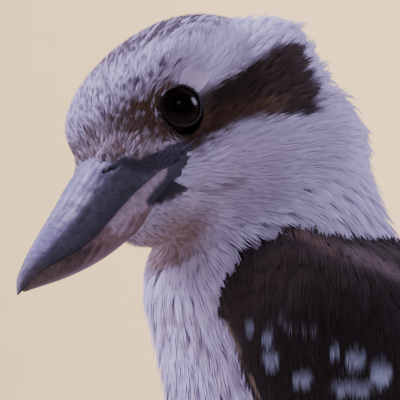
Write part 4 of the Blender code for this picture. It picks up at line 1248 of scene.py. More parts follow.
def covert_roots():
    """Roots of the wing's soft feathers: along, down, the front of their row and their size."""
    roots = []

    def front_at(down):
        return float(interpolate(MANTLE_FRONT, down)) + 0.5

    def low_edge(s):
        return float(interpolate(SHOULDER_LOW_EDGE, s))

    for row, down in enumerate(np.arange(2.0, 90.0, 2.6)):
        front, last = front_at(down), float(interpolate(SOFT_COVERTS_END, down))
        hang = 7.0 * float(step(down, 25, 45))
        for s in np.arange(front + 1.9 * (row % 2), last, 3.6):
            if down < low_edge(s + 6) + 1 - hang:
                roots.append((s, down, front, 1.0))
    # Short feathers close together hide the edges of the longer ones
    for down in np.arange(2.0, 84.0, 0.6):
        roots += [(front_at(down) + ahead, down, front_at(down), 0.5) for ahead in (-1.0, 0.8, 2.8)]
    for s in np.arange(-19.0, 52.0, 0.7):
        roots += [(s, low_edge(s) - above, s - 6, 0.5) for above in (1.2, 3.4, 5.6)]
    return np.array(roots)


def soft_coverts(name, mirror, rng):
    """Small loose feathers over the wing's front, the shoulder and the mantle."""
    roots = covert_roots()
    n = len(roots)
    roots[:, :2] += rng.normal(0, 0.55, (n, 2))
    front, size = roots[:, 0] - roots[:, 2], roots[:, 3]
    kinds, faces = strand_template(11, 6, 0.6, rng, 0.4)
    pattern = kinds[rng.integers(0, len(kinds), n)]
    across, along = pattern[..., 0], pattern[..., 1]
    length = (7.5 + 6.5 * step(front, 0, 16)) * (0.85 + 0.3 * rng.random(n)) * size
    width = (5.4 + 1.4 * rng.random(n)) * (0.6 + 0.4 * length / 14)
    width = width * (0.2 + 0.8 * step(size, 0.5, 1))
    turn = (rng.normal(0, 0.10, n) + 0.75 * step(roots[:, 1], 25, 45))[:, None]
    ahead, aside = along * length[:, None], across * width[:, None] / 2
    s = roots[:, :1] + ahead * np.cos(turn) - aside * np.sin(turn)
    down = np.maximum(roots[:, 1:2] + aside * np.cos(turn) + ahead * np.sin(turn), 0.3)
    tips = WING.at(s[:, -1], down[:, -1], np.zeros(n), False)[0]
    pale = (rng.random(n) < 0.2) * (tips[:, 0] > 62) * (roots[:, 1] > 30) * 0.8
    lift = ((0.7 + 0.5 * rng.random(n)) * size + 0.6 * pale)[:, None]
    height = covert_bed(s, down) + 0.15 + lift * along - 0.3 * across ** 2
    points = WING.at(s, down, height, mirror)[0]
    colour = paint(chosen("wing") * (0.65 + 0.3 * rng.random((n, 1))), (
        (chosen("ear_band"), 0.6 * (1 - step(front, 2, 14))),
        (linear("#33251F"), 0.35 * step(roots[:, 0], 10, 40)),
    ))
    fringe = 0.3 * step(np.abs(across), 0.6, 1.0)
    fringe = fringe + 0.4 * step(along + 0.3 * across ** 2, 0.82, 1.0)
    # Painted shade: each feather darkens towards its root, which the feathers ahead of it cover
    colours = colour[:, None] * (0.86 + 0.14 * step(along, 0.0, 0.6))[..., None]
    end = along + 0.10 * (rng.random(along.shape) - 0.5) + 0.08 * across ** 2
    end = pale[:, None] * step(end, 0.66, 0.76)
    barbs = 0.7 + 0.3 * rng.random(along.shape)
    seen = points.reshape(-1, 3)[:, [0, 2]]
    for back, up, half, tall, strength in PALE_TIPS:
        beside, over = (seen[:, 0] - back) / half, (seen[:, 1] - up) / tall
        spot = (1 - step(np.hypot(beside, over), 0.75, 1.2)) * (1 - 0.7 * step(over, -0.3, 0.9))
        end = np.maximum(end, spot.reshape(along.shape) * barbs * strength)
    layers = [(linear("#54423A"), fringe)]
    # Paler feather lines, the second with a painted sheen
    for line, wide, strength, tone in WING_BANDS_AND_SHEEN:
        share = near_line(seen, line, wide) * strength * (1 - step(seen[:, 0], 58, 80))
        layers.append((linear(tone), share.reshape(along.shape) * barbs))
    low = (roots[:, 1] > interpolate(SHOULDER_LOW_EDGE, roots[:, 0]) - 5)[:, None]
    rim = near_line(seen, WING_RIM, 1.3).reshape(along.shape) * low
    layers += [(linear("#B9C4DC"), end), (linear("#A8927C"), 0.8 * rim)]
    centre = np.stack([(s[:, 0] + 40) / 130, down[:, 0] / 110], -1) * 0.94 + 0.02
    return show_feathers(
        name, points, faces[:, ::-1] if mirror else faces, pattern, width, length,
        paint(colours, layers), centre, rng)


def wing_core(mirror):
    """The closed body of the wing's rounded front, under its soft feathers."""
    s = np.linspace(-17.5, 66, 46)[:, None]
    t = np.linspace(0, 1, 30)[None]
    top, low = interpolate(SHOULDER_TOP, s), interpolate(SHOULDER_LOW_EDGE, s)
    s, t = np.broadcast_arrays(s, t)
    down = top + (low - top) * t
    height = front_height(s, down) - SHOULDER_EDGE_HEIGHT
    points, normals = WING.at(s, down, height, mirror)
    flat = np.stack([(s + 30) / 110, t], -1)
    tint = np.broadcast_to(linear("#1A1210"), points.shape)
    thickness = height[..., None] * 0.8 + 0.1
    return slab(points, normals, thickness, flat * 8, flat * 0.9 + 0.05, tint)


def build_wings():
    """Folded wings: a dark body, tiers of vanes, and small loose feathers over the front."""
    for node, mirror, seed in (("wing_left", False, 31), ("wing_right", True, 32)):
        rng = np.random.default_rng(seed)
        for obj, material in (
            (gather("vanes_" + node, wing_vanes(mirror, rng)), wing_material()),
            (soft_coverts("coverts_" + node, mirror, rng), feather_material()),
            (gather("body_" + node, [wing_core(mirror)]), wing_material()),
        ):
            finish_piece(obj, material, "brown_plumage", node)


def build_tail():
    """Twelve long barred vanes with white tips, and short ones above and below."""
    rng = np.random.default_rng(41)
    axis = np.array([math.cos(TAIL_SLOPE), 0.0, -math.sin(TAIL_SLOPE)])
    up = np.array([math.sin(TAIL_SLOPE), 0.0, math.cos(TAIL_SLOPE)])
    left = np.array([0.0, -1.0, 0.0])
    rufous, bar = chosen("tail"), linear("#1C1310")
    slabs = []

    def vane(reach, sides, height, half_width, colour_of, rows, columns, outline, ripple=0.0):
        v, across, wide, shaft = vane_sheet(rows, columns, 0.92, 0.03, outline, rng)
        side = sides[0] + (sides[1] - sides[0]) * v + wide * half_width
        along = reach[0] + (reach[1] - reach[0]) * v - 2.4 * across ** 2 * step(v, 0.8, 1.0)
        lift = height + 0.22 * shaft - TAIL_CAMBER * (side / 25.0) ** 2 + ripple * v
        points = np.array(TAIL_ROOT) + axis * along[..., None]
        points = points + left * side[..., None] + up * lift[..., None]
        along = along - reach[0]
        colour = colour_of(v, np.abs(across), along)
        maps = vane_maps(len(slabs), 8, 0.004, 0.115, across, v, along / 10, rng)
        normals = np.broadcast_to(up, points.shape)
        slabs.append(slab(points, normals, TAIL_VANE_THICKNESS, *maps, colour))

    def barred(v, off, along):
        share = step(np.sin((along + 1.6 * off) * math.tau / 13.0), -0.05, 0.35)
        return paint(rufous, (
            (bar, share),
            (linear("#B08A6A"), step(off, 0.6, 1.0) * 0.35 * (1 - share)),
            (linear("#DDD6D6"), step(v, 0.885, 0.915)),
        ))

    def rump(v, off, along):
        return mix(linear("#6B452C"), bar, step(np.sin(along * math.tau / 11.0), 0.1, 0.5))

    def vent(v, off, along):
        bars = step(np.sin(along * math.tau / 12.0), 0.75, 0.95) * 0.35
        return mix(linear("#DCD2CC"), linear("#8B6A55"), bars)

    for number in range(RECTRIX_PAIRS):
        length = TAIL_LENGTH - 2.2 * number ** 1.5
        level = 2.6 - number * VANE_STEP
        for hand in (1, -1):
            sides = ((3.4 + number) * hand, (RECTRIX_HALF_WIDTH - 3.0 + number * 3.0) * hand)
            vane(
                (4.0, length), sides, level + 0.12 * hand, RECTRIX_HALF_WIDTH * 0.97,
                barred, 46, 11, VANE_OUTLINE)
    for layer, place_in_row in itertools.product(range(4), range(6)):
        side, start = (place_in_row - 2.5) * 4.2, -14.0 + 9 * layer
        vane(
            (start, start + 30), (side * 0.8, side * 1.05), 5.2 - 0.5 * layer + rng.random() * 0.3,
            4.6, rump, 16, 7, COVERT_OUTLINE, -1.2)
    for layer, place_in_row in itertools.product(range(4), range(7)):
        side, start = (place_in_row - 3) * 4.2, -8.0 + 12 * layer
        vane(
            (start, start + 32), (side * 0.8, side * 1.05), -6.0 + 0.5 * layer - rng.random() * 0.3,
            4.8, vent, 16, 7, COVERT_OUTLINE, 1.2)
    finish_piece(gather("tail_feathers", slabs), wing_material(), "rufous_plumage", "tail")


def nostril_share(local):
    """1 in the slit of a nostril, 0 away from it."""
    f, up = local[:, 0] - NOSTRIL[0], local[:, 2] - NOSTRIL[1]
    along = NOSTRIL_WAY[0] * f + NOSTRIL_WAY[1] * up
    across = NOSTRIL_WAY[0] * up - NOSTRIL_WAY[1] * f
    q = np.hypot(along / NOSTRIL_HALF_SIZE[0], across / NOSTRIL_HALF_SIZE[1])
    return 1 - step(q, 0.55, 1.25)


def wrinkles(local):
    """Long uneven folds of the horn ahead of the nostrils, from -1 to 1."""
    f, up = local[:, 0], local[:, 2]
    drift = up + 0.26 * f
    fold = np.sin(drift * 4.4 + 0.7 * np.sin(f * 0.31))
    return (fold + 0.6 * np.sin(drift * 9.1 + 0.9 * np.sin(f * 0.43 + 1) + 2)) / 1.6


def nostril_dent(local):
    """Sinks the nostrils and the folds of horn ahead of them."""
    f, side, up = local.T
    folded = np.exp(-((f - 37) / 9.0) ** 2 - ((up - 9.5) / 3.6) ** 2)
    folds = 0.15 * wrinkles(local) * folded + 0.05 * wrinkles(local * 1.7)
    deep = NOSTRIL_DEPTH * nostril_share(local) + folds
    side = side - np.sign(side) * np.minimum(deep, 0.7 * np.abs(side))
    return np.stack([f, side, up], 1)


def bill_shape(upper, along, around):
    """Points of one half of the bill, closed by a flat face at the line of the mouth."""
    tip = UPPER_TIP if upper else LOWER_TIP
    f = BILL_ROOT + (tip - BILL_ROOT) * np.clip((along - 0.03) / 0.955, 0, 1)
    cap = np.clip(along / 0.03, 0, 1) ** 0.5 * np.clip((1 - along) / 0.015, 0, 1) ** 0.5
    wide, mouth = interpolate(BILL_HALF_WIDTH, f), interpolate(MOUTH_LINE, f)
    c, s = np.cos(around), np.sin(around)
    if upper:
        sharp = interpolate(RIDGE_SHARPNESS, f)
        tall = np.maximum(interpolate(CULMEN_LINE, f) - mouth, 0.3)
        side = np.sign(c) * np.abs(c) ** sharp * wide
        up = mouth + np.where(s > 0, np.abs(s) ** sharp * tall, 0.0)
    else:
        tall = -np.maximum(mouth - interpolate(LOWER_LINE, f), 0.3)
        side = np.sign(c) * np.abs(c) ** LOWER_SHARPNESS * wide * 0.97
        up = mouth + np.where(s < 0, np.abs(s) * tall, 0.0)
    centre = mouth + 0.3 * tall
    local = np.stack([f, side * cap, centre + (up - centre) * cap], 1)
    return from_head(nostril_dent(local) if upper else local)


def upper_bill_colour(local):
    """Slate horn, paler along the ridge with a painted reflection, and with painted highlights on
    the wrinkles ahead of the nostrils.
    """
    f, side, up = local.T
    mouth = interpolate(MOUTH_LINE, f)
    rise = np.clip((up - mouth) / np.maximum(interpolate(CULMEN_LINE, f) - mouth, 0.5), 0, 1)
    slate, wrinkled = chosen("upper_bill"), wrinkles(local)
    # Painted reflection along the ridge, and a band of painted highlight streaks on the wrinkles
    painted_sheen = step(rise, 0.46, 0.74) * step(f, 22, 31)
    band = step(rise, 0.5, 0.66) * (1 - step(rise, 0.86, 1.0)) * step(f, 27, 33)
    band = band * (1 - 0.8 * step(f, 46, 62))
    patchy = 0.5 + 0.5 * np.sin(f * 0.62 + up * 0.8) * np.sin(f * 0.23 - up * 1.1 + 1)
    cloud = np.sin(f * 0.33 + up * 0.9 + 1.3 * np.sin(f * 0.21)) * np.sin(up * 0.8 - f * 0.12)
    groove_shade = near_line(local[:, [0, 2]], NOSTRIL_GROOVE_SHADE, 0.9)
    return paint(slate, (
        # Painted reflection along the ridge and towards the tip, and painted highlights on the
        # wrinkles' crests between darker folds
        (linear("#908BA8"), painted_sheen * (0.9 - 0.35 * step(f, 60, 76))),
        (linear("#EED8E6"), 0.85 * band * patchy * step(wrinkled, -0.1, 0.7)),
        (slate, 0.65 * band * step(-wrinkled, 0.25, 0.85)),
        (linear("#7B7096"), 0.3 * step(f, 50, 66) * step(rise, 0.35, 0.7)),
        (linear("#55505F"), 0.28 * (0.5 + 0.5 * cloud) * step(rise, 0.12, 0.4) * (1 - painted_sheen)),
        (linear("#1B191E"), 0.55 * (1 - step(rise, 0.0, 0.22)) * (1 - step(f, 66, 74))),
        # Painted shade in the groove ahead of the nostril
        (linear("#17141A"), 0.8 * groove_shade),
        (linear("#54453F"), 0.5 * step(f, 64, 75)),
        # Painted shade inside the nostril's opening
        (linear("#0B090B"), np.clip(nostril_share(local) * 1.3, 0, 1)),
        (BILL_SKIN, (1 - step(f, 24, 31)) * (1 - step(rise, 0.6, 0.8))),
    ))


def lower_bill_colour(local):
    """Pinkish horn, darker below, with painted shade along the mouth, a dark blotch and a browner
    tip.
    """
    f, side, up = local.T
    mouth = interpolate(MOUTH_LINE, f)
    drop = np.clip((mouth - up) / np.maximum(mouth - interpolate(LOWER_LINE, f), 0.5), 0, 1)
    wave = np.sin(f * 0.9 + 2.1 * up) + np.sin(f * 0.37 - up * 1.3 + 1.0)
    cloudy = step(f + 3.0 * wave, 48, 56) * (1 - step(f + 2.0 * wave + 6 * drop, 64, 74))
    return paint(chosen("lower_bill"), (
        # Darker towards the bottom
        (linear("#6F5652"), step(drop + 0.10 * wave + step(f, 40, 50), 0.42, 0.8)),
        (linear("#3A2A28"), 0.85 * cloudy * (1 - 0.6 * step(drop, 0.6, 1.0))),
        # Painted shade along the mouth, under the edge of the upper half
        (chosen("upper_bill"), 0.6 * (1 - step(drop, 0.03, 0.12)) * step(f, 38, 46)),
        (linear("#57473B"), 0.85 * step(f, 58, 67)),
        (BILL_SKIN, 1 - step(f, 13, 17)),
        (PATCH_SKIN, spread(local[:, [0, 2]], MALAR_SKIN, 1.4)),
    ))


def build_bill():
    """Upper and lower halves of the bill, with the nostrils and the soft skin at its base."""
    rng = np.random.default_rng(51)
    for node, upper, segments, rings, colour_of, slot in (
        ("upper_mandible", True, 96, 240, upper_bill_colour, "slate_horn"),
        ("lower_mandible", False, 80, 200, lower_bill_colour, "pale_horn"),
    ):
        obj, _, _ = shape_ball(
            node + "_horn", segments, rings,
            lambda along, around: bill_shape(upper, along, around))
        local = to_head(points_of(obj))
        f, side, up = local.T
        colour = colour_of(local) * (0.94 + 0.12 * rng.random((len(f), 1)))
        around = np.arctan2(up - interpolate(MOUTH_LINE, f) - 3, side)
        dress(obj, colour, None, np.stack([f / 95 + 0.06, around / 7 + 0.5], 1))
        finish_piece(obj, horn_material(), slot, node)


def build_eyeball(node, hand):
    """A dark glossy eyeball, a little fuller at its front."""
    axes, centre = eye_axes(hand), eye_centre(hand)

    def shape(along, around):
        tilt = along * math.pi
        radius = EYE_RADIUS + 0.35 * (1 - step(tilt, 0.1, 0.75))
        across = np.sin(tilt)
        local = np.stack([across * np.cos(around), across * np.sin(around), np.cos(tilt)], 1)
        return centre + (local * radius[:, None]) @ axes

    obj, along, around = shape_ball(node + "ball", 64, 48, shape)
    away, front = np.sin(along * math.pi) * EYE_RADIUS, along < 0.5
    fibres = 0.8 + 0.4 * np.abs(np.sin(around * 17) * np.sin(around * 29 + 1))
    colour = paint(linear("#1C110C") * fibres[:, None], (
        (linear("#030303"), np.where(front, 1 - step(away, 3.3, 3.8), 0)),
        (linear("#0A0707"), np.where(front, step(away, 5.6, 6.4), 1)),
    ))
    flat = 0.5 + 0.45 * along[:, None] * np.stack([np.cos(around), np.sin(around)], 1)
    dress(obj, colour, None, flat)
    finish_piece(obj, eye_material(), "dark_eye", node)


def build_lids(node, hand):
    """The bare wrinkled rims around an eye, cut across by the brow."""
    clear_selection()
    bpy.ops.mesh.primitive_torus_add(
        major_segments=96, minor_segments=16, major_radius=1.0, minor_radius=0.12)
    lid = named(node + "_lids")
    co = raw_points(lid)
    turn = np.arctan2(co[:, 1], co[:, 0])
    out = np.hypot(co[:, 0], co[:, 1]) - 1
    wrinkle = 1 + 0.10 * np.sin(turn * 31) + 0.07 * np.sin(turn * 47 + 1)
    ring = LID_WIDTH + out * 2.7 * wrinkle
    corner = 0.4 * np.abs(np.cos(turn)) ** 6
    wide = 0.2 * hand + 0.96 * (ring + corner) * np.cos(turn)
    tall = np.minimum(ring * np.sin(turn), BROW_CUT * LID_WIDTH + ring - LID_WIDTH)
    local = np.stack([wide, tall, LID_DISTANCE + co[:, 2] * 3.6 * wrinkle], 1)
    set_points(lid, eye_centre(hand) + local @ eye_axes(hand))
    edit_all(lid, bpy.ops.mesh.normals_make_consistent, inside=False)
    # Painted highlight along the moist crest of the lids, strongest below
    crest = (1 - step(np.abs(out + 0.08), 0.012, 0.035)) * (co[:, 2] > 0)
    painted_sheen = 0.8 * crest * (0.35 + 0.65 * step(-np.sin(turn), -0.9, 0.3))
    colour = mix(linear("#2C2522"), linear("#737B92"), painted_sheen)
    dress(lid, colour, None, np.stack([turn / 7 + 0.5, out * 2 + 0.5], 1))
    finish_piece(lid, lid_material(), "foot_skin", "head")


def build_eyes():
    """Both eyeballs with the lids around them."""
    for node, hand in (("eye_left", 1), ("eye_right", -1)):
        build_eyeball(node, hand)
        build_lids(node, hand)


def build_feet():
    """Scaly feet smoothed from the solids, and horn claws."""
    for side in ("left", "right"):
        foot = copied("foot_" + side, "scaly_foot_" + side)
        apply(foot, "REMESH", mode="VOXEL", voxel_size=FOOT_VOXEL)
        apply(foot, "SMOOTH", factor=0.5, iterations=6)
        bpy.ops.object.shade_smooth()
        points = points_of(foot)
        low = points.min(axis=0)
        shade = 0.6 * step(points[:, 2], low[2], low[2] + 5)
        dress(foot, mix(chosen("feet"), linear("#3B352F"), shade), None, (points - low)[:, :2] / 80)
        finish_piece(foot, foot_material(), "foot_skin", "foot_" + side)
        for number in range(1, 5):
            node = f"claw_{side}_{number}"
            claw = copied(node, "horn_" + node)
            apply(claw, "SUBSURF", levels=2, render_levels=2)
            bpy.ops.object.shade_smooth()
            dress(claw, linear("#26211F"), None, points_of(claw)[:, :2] / 200 % 1)
            finish_piece(claw, horn_material(), "slate_horn", node)


# Patterns as cells in each metre: horn is clouded every 2 mm and grained every 1 mm, the iris is
# specked every 0.7 mm, lids are pebbled every 0.7 mm, toes scaled every 1.4 mm, paint every 17 mm
HORN_CLOUDS = 520.0
HORN_GRAIN = 900.0
IRIS_SPECKS = 1500.0
LID_PEBBLES = 1400.0
TOE_SCALES = 700.0
PAINT_GRAIN = 60.0
# Barbs in each unit of the feathers' own map, which is about 10 mm: 0.15 and 0.25 mm apart.
# Real barbs lie closer, and are drawn as coarse as they need to show.
LOOSE_BARBS = 70.0
CLOSED_BARBS = 45.0
CORNEA_IOR = 1.376


def add_node(tree, kind, inputs=None, **settings):
    """A node with its settings, and its inputs given as values or as links from other nodes."""
    made = tree.nodes.new(kind)
    for key, value in settings.items():
        setattr(made, key, value)
    for socket, value in (inputs or {}).items():
        if isinstance(value, bpy.types.NodeSocket):
            tree.links.new(value, made.inputs[socket])
        else:
            made.inputs[socket].default_value = value
    return made


def material_of(name, surface_of):
    """The material of a name, made with its surface's inputs when it is first wanted."""
    if name not in bpy.data.materials:
        material = bpy.data.materials.new(name)
        material.use_nodes = True
        tree = material.node_tree
        tree.nodes.clear()
        bsdf = add_node(tree, "ShaderNodeBsdfPrincipled", surface_of(tree))
        add_node(tree, "ShaderNodeOutputMaterial", {"Surface": bsdf.outputs[0]})
    return bpy.data.materials[name]


def texture(tree, kind, inputs, **settings):
    """A texture over the piece's own space."""
    where = add_node(tree, "ShaderNodeTexCoord")
    return add_node(tree, kind, {"Vector": where.outputs["Object"], **inputs}, **settings)


def tinted(tree, level):
    """The piece's painted colour, made darker and lighter by a level."""
    tint = add_node(tree, "ShaderNodeAttribute", attribute_name="Tint", attribute_type="GEOMETRY")
    shaded = add_node(
        tree, "ShaderNodeVectorMath", {0: tint.outputs["Color"], 1: level.outputs[0]},
        operation="MULTIPLY")
    return shaded.outputs[0]


def barbed(name, streaks, strength, roughness):
    """Barbs of a feather's vane: thin streaks along it, in colour and in height."""
    def surface(tree):
        vane = add_node(tree, "ShaderNodeUVMap", uv_map="Vane")
        fine = add_node(tree, "ShaderNodeMapping", {
            "Vector": vane.outputs[0], "Scale": (streaks, 3.0, 1.0)})
        noise = add_node(tree, "ShaderNodeTexNoise", {
            "Vector": fine.outputs[0], "Scale": 1.0, "Detail": 3.0, "Roughness": 0.65})
        level = add_node(tree, "ShaderNodeMapRange", {
            "Value": noise.outputs[0], "From Min": 0.25, "From Max": 0.75,
            "To Min": 1 - strength, "To Max": 1 + 0.6 * strength})
        bump = add_node(tree, "ShaderNodeBump", {
            "Height": noise.outputs[0], "Strength": 0.35, "Distance": 0.0002})
        return {
            "Base Color": tinted(tree, level), "Roughness": roughness,
            "Normal": bump.outputs[0], "Sheen Weight": 0.05, "Specular IOR Level": 0.25}
    return material_of(name, surface)


def feather_material():
    # Contour feathers: keratin barbs lying loose give a soft, matt, finely combed white
    return barbed("Downy contour feathers", LOOSE_BARBS, 0.16, 0.8)


def wing_material():
    # Closed vanes of flight feathers and coverts: darker, with a faint gloss along the barbs
    return barbed("Closed vane feathers", CLOSED_BARBS, 0.3, 0.55)


def horn_material():
    # Keratin horn: smooth and slightly oily, with fine growth lines that break its shine
    def surface(tree):
        clouds = texture(tree, "ShaderNodeTexNoise", {
            "Scale": HORN_CLOUDS, "Detail": 6.0, "Roughness": 0.68})
        level, rough = (
            add_node(tree, "ShaderNodeMapRange", {
                "Value": clouds.outputs[0], "From Min": 0.3, "From Max": 0.7,
                "To Min": low, "To Max": high})
            for low, high in ((0.55, 1.5), (0.42, 0.6)))
        grain = texture(tree, "ShaderNodeTexNoise", {"Scale": HORN_GRAIN, "Detail": 3.0})
        bump = add_node(tree, "ShaderNodeBump", {
            "Height": grain.outputs[0], "Strength": 0.4, "Distance": 0.0003})
        return {
            "Base Color": tinted(tree, level), "Roughness": rough.outputs[0],
            "Normal": bump.outputs[0], "Specular IOR Level": 0.32,
            "Coat Weight": 0.04, "Coat Roughness": 0.25}
    return material_of("Polished bill horn", surface)


def eye_material():
    # Wet cornea over a very dark iris: a clear coat gives the sharp lights
    def surface(tree):
        noise = texture(tree, "ShaderNodeTexNoise", {"Scale": IRIS_SPECKS, "Detail": 2.0})
        level = add_node(tree, "ShaderNodeMapRange", {
            "Value": noise.outputs[0], "To Min": 0.8, "To Max": 1.2})
        return {
            "Base Color": tinted(tree, level), "Roughness": 0.16, "IOR": CORNEA_IOR,
            "Specular IOR Level": 0.09, "Coat Weight": 0.01, "Coat Roughness": 0.05}
    return material_of("Wet dark eye", surface)


def scaly(name, scale, depth, roughness):
    """Small cells of bare skin, dark and low between them."""
    def surface(tree):
        cells = texture(tree, "ShaderNodeTexVoronoi", {"Scale": scale}, feature="F1")
        level = add_node(tree, "ShaderNodeMapRange", {
            "Value": cells.outputs[0], "From Max": 0.8, "To Min": 1.15, "To Max": 0.65})
        bump = add_node(tree, "ShaderNodeBump", {
            "Height": cells.outputs[0], "Strength": 0.6, "Distance": depth}, invert=True)
        return {
            "Base Color": tinted(tree, level), "Roughness": roughness,
            "Normal": bump.outputs[0], "Specular IOR Level": 0.25}
    return material_of(name, surface)


def lid_material():
    # Bare skin of the lids: fine pebbled folds, slightly moist
    return scaly("Bare lid skin", LID_PEBBLES, 0.0002, 0.6)


def foot_material():
    # Plates and granules of the toes: dry, with darker joints between the scales
    return scaly("Scaly foot skin", TOE_SCALES, 0.0004, 0.55)


def stage_material():
    # Matt wall paint: plain and dull, so that the eye stays on the bird
    def surface(tree):
        noise = texture(tree, "ShaderNodeTexNoise", {"Scale": PAINT_GRAIN, "Detail": 4.0})
        colours = add_node(tree, "ShaderNodeMix", {
            "Factor": noise.outputs[0], 6: (*linear("#DAD3C8"), 1), 7: (*linear("#E0DACF"), 1),
        }, data_type="RGBA")
        return {"Base Color": colours.outputs[2], "Roughness": 0.9}
    return material_of("Pale matt paint", surface)


# Stage, in metres: the floor, and a board that curves up from it behind the bird
FLOOR_RADIUS = 6.5
BOARD_AWAY = 4.6
BOARD_WIDTH = 1.8
BOARD_LENGTH = 0.62
BOARD_CURVE = 0.12
BOARD_TURN = 1.4
BOARD_LIFT = 0.0005

# The point of the head that the camera looks at, and where the board's light looks from there
AIM = Vector(place((6.64, -20.0, -10.8)))
BOARD_AIM = AIM + Vector((0.0, 4.7, 0.05))
# Lights: name, way from the point they look at, that point, distance, size, power and colour
LIGHTS = (
    ("Left softbox", (-0.66, 0.0, 0.75), AIM, 1.2, 0.55, 28.0, "#DBD1FF"),
    ("Right softbox", (0.84, 0.30, 0.45), AIM, 1.2, 0.45, 11.0, "#DBD1FF"),
    ("Front softbox", (0.28, -0.78, 0.60), AIM, 1.6, 0.42, 3.2, "#E4DDFF"),
    ("Backdrop light", (0.35, -0.80, 0.45), BOARD_AIM, 1.1, 0.8, 36.0, "#FFDFAE"),
)
ROOM_COLOUR = "#DAD3EA"
ROOM_STRENGTH = 0.25
SENSOR_WIDTH = 36.0


def build_floor():
    """The flat round floor that the bird stands on."""
    clear_selection()
    bpy.ops.mesh.primitive_circle_add(
        vertices=96, radius=FLOOR_RADIUS, fill_type="NGON", location=(0, 0, 0))
    floor = named("floor")
    floor.data.materials.append(stage_material())


def build_backdrop():
    """A board that leaves the floor in a curve and then stands nearly upright."""
    clear_selection()
    bpy.ops.mesh.primitive_grid_add(
        x_subdivisions=2, y_subdivisions=40, size=1.0, location=(0, 0, 0))
    backdrop = named("backdrop")
    for vertex in backdrop.data.vertices:
        along = (vertex.co.y + 0.5) * BOARD_LENGTH
        turn = min(along / BOARD_CURVE, BOARD_TURN)
        straight = max(along - BOARD_CURVE * BOARD_TURN, 0.0)
        back = BOARD_CURVE * math.sin(turn) + straight * math.cos(BOARD_TURN)
        up = BOARD_CURVE * (1 - math.cos(turn)) + straight * math.sin(BOARD_TURN)
        vertex.co = (vertex.co.x * BOARD_WIDTH, BOARD_AWAY + back, up + BOARD_LIFT)
    backdrop.data.materials.append(stage_material())


def build_lights():
    """Soft lights from both sides and the front, one for the board, and a dim room."""
    scene = bpy.context.scene
    for name, way, target, distance, size, power, colour in LIGHTS:
        light = bpy.data.lights.new(name, "AREA")
        light.shape = "DISK"
        light.size = size
        light.energy = power
        light.color = linear(colour)
        obj = bpy.data.objects.new(name, light)
        obj.location = target + Vector(way).normalized() * distance
        obj.rotation_euler = (target - obj.location).to_track_quat("-Z", "Y").to_euler()
        scene.collection.objects.link(obj)
    scene.world = bpy.data.worlds.new("Soft room")
    scene.world.use_nodes = True
    room = scene.world.node_tree.nodes["Background"].inputs
    room["Color"].default_value = (*linear(ROOM_COLOUR), 1)
    room["Strength"].default_value = ROOM_STRENGTH


def build_camera(sizes):
    """The camera at the photograph's viewing angle, level and far away, like a long lens."""
    data = bpy.data.cameras.new("Camera")
    data.sensor_width = SENSOR_WIDTH
    data.lens = SENSOR_WIDTH * sizes.distance / sizes.frame_width
    data.clip_start = 0.01
    camera = bpy.data.objects.new("Camera", data)
    camera.location = AIM + Vector((0.0, -sizes.distance, 0.0))
    camera.rotation_euler = (math.pi / 2, 0.0, 0.0)
    bpy.context.scene.collection.objects.link(camera)
    bpy.context.scene.camera = camera


def colour_choice(name, description, colour):
    """A colour that the panel offers, from an sRGB hex colour."""
    return bpy.props.FloatVectorProperty(
        name=name, description=description, default=tuple(linear(colour)), size=3,
        subtype="COLOR", min=0.0, max=1.0)


def length_choice(name, description, metres, least):
    """A length that the panel offers."""
    return bpy.props.FloatProperty(
        name=name, description=description, default=metres, min=least, unit="LENGTH")


class KookaburraColours(bpy.types.PropertyGroup):
    """Colours of the bird."""

    white: colour_choice("White", "Face, throat, breast and belly", "#E8DFFA")
    ear_band: colour_choice("Ear band", "Dark band from the eye over the ear", "#42352E")
    crown: colour_choice("Crown", "Rows of dark feathers on the crown", "#433026")
    chin_smudge: colour_choice("Chin stain", "Tan stain under the chin", "#86664F")
    mantle: colour_choice("Mantle", "Back behind the white collar", "#2A1C17")
    wing: colour_choice("Wing", "Small feathers on the wing's front", "#1F1713")
    tail: colour_choice("Tail", "Rufous between the tail's dark bars", "#8A5A38")
    upper_bill: colour_choice("Upper bill", "Horn of the upper half", "#36333B")
    lower_bill: colour_choice("Lower bill", "Horn of the lower half", "#94818B")
    feet: colour_choice("Feet", "Skin of the toes", "#5D564E")


class KookaburraSizes(bpy.types.PropertyGroup):
    """Distances between feathers, and sizes of the stage."""

    face_gap: length_choice("Face gap", "Between feathers of the face", 0.00085, 0.0005)
    crown_gap: length_choice("Crown gap", "Between feathers of the crown", 0.00125, 0.0005)
    neck_gap: length_choice("Neck gap", "Between feathers of the neck", 0.0019, 0.0005)
    trunk_gap: length_choice("Trunk gap", "Between feathers of the trunk", 0.0025, 0.0005)
    distance: length_choice("Camera distance", "From the camera to the head", 4.0, 0.5)
    frame_width: length_choice(
        "Frame width", "Width that the camera sees at the head", 0.116, 0.02)


class KOOKABURRA_OT_coat(bpy.types.Operator):
    """Build the skin and the contour feathers over it"""

    bl_idname = "kookaburra.coat"
    bl_label = "Skin and contour feathers"

    def execute(self, context):
        sizes = context.scene.kookaburra_sizes
        gaps = (sizes.face_gap, sizes.crown_gap, sizes.neck_gap, sizes.trunk_gap)
        build_coats(build_skin(), [round(gap / MM, 3) for gap in gaps])
        return {"FINISHED"}


class KOOKABURRA_OT_bill(bpy.types.Operator):
    """Build both halves of the bill"""

    bl_idname = "kookaburra.bill"
    bl_label = "Bill"

    def execute(self, context):
        build_bill()
        return {"FINISHED"}


class KOOKABURRA_OT_eyes(bpy.types.Operator):
    """Build the eyeballs and lids"""

    bl_idname = "kookaburra.eyes"
    bl_label = "Eyes and lids"

    def execute(self, context):
        build_eyes()
        return {"FINISHED"}


class KOOKABURRA_OT_wings(bpy.types.Operator):
    """Build the folded wings"""

    bl_idname = "kookaburra.wings"
    bl_label = "Wings"

    def execute(self, context):
        build_wings()
        return {"FINISHED"}


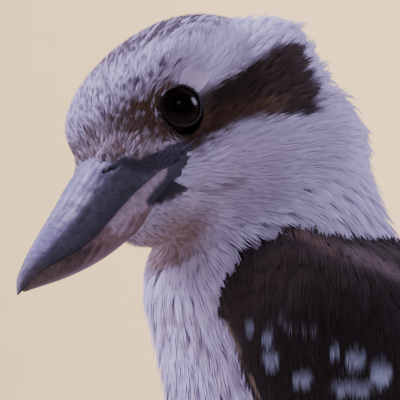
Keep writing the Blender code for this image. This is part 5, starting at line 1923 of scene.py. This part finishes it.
class KOOKABURRA_OT_tail(bpy.types.Operator):
    """Build the tail"""

    bl_idname = "kookaburra.tail"
    bl_label = "Tail"

    def execute(self, context):
        build_tail()
        return {"FINISHED"}


class KOOKABURRA_OT_feet(bpy.types.Operator):
    """Build the feet and claws"""

    bl_idname = "kookaburra.feet"
    bl_label = "Feet and claws"

    def execute(self, context):
        build_feet()
        return {"FINISHED"}


class KOOKABURRA_OT_stage(bpy.types.Operator):
    """Set up the floor, the backdrop, the lights and the camera"""

    bl_idname = "kookaburra.stage"
    bl_label = "Stage"

    def execute(self, context):
        build_floor()
        build_backdrop()
        build_lights()
        build_camera(context.scene.kookaburra_sizes)
        return {"FINISHED"}


OPERATORS = (
    KOOKABURRA_OT_coat, KOOKABURRA_OT_bill, KOOKABURRA_OT_eyes, KOOKABURRA_OT_wings,
    KOOKABURRA_OT_tail, KOOKABURRA_OT_feet, KOOKABURRA_OT_stage,
)


class KOOKABURRA_PT_panel(bpy.types.Panel):
    """Lists the colours and sizes, and the steps in the order in which they are run"""

    bl_label = "Kookaburra"
    bl_idname = "KOOKABURRA_PT_panel"
    bl_space_type = "VIEW_3D"
    bl_region_type = "UI"
    bl_category = "Kookaburra"

    def draw(self, context):
        scene = context.scene
        for group in (scene.kookaburra_colours, scene.kookaburra_sizes):
            for name in group.__annotations__:
                self.layout.prop(group, name)
        for operator in OPERATORS:
            self.layout.operator(operator.bl_idname)


CLASSES = (KookaburraColours, KookaburraSizes, *OPERATORS, KOOKABURRA_PT_panel)


def register():
    for kind in CLASSES:
        bpy.utils.register_class(kind)
    bpy.types.Scene.kookaburra_colours = bpy.props.PointerProperty(type=KookaburraColours)
    bpy.types.Scene.kookaburra_sizes = bpy.props.PointerProperty(type=KookaburraSizes)


def unregister():
    del bpy.types.Scene.kookaburra_sizes
    del bpy.types.Scene.kookaburra_colours
    for kind in reversed(CLASSES):
        bpy.utils.unregister_class(kind)


def main():
    register()
    for operator in OPERATORS:
        group, name = operator.bl_idname.split(".")
        getattr(getattr(bpy.ops, group), name)()


if __name__ == "__main__":
    main()
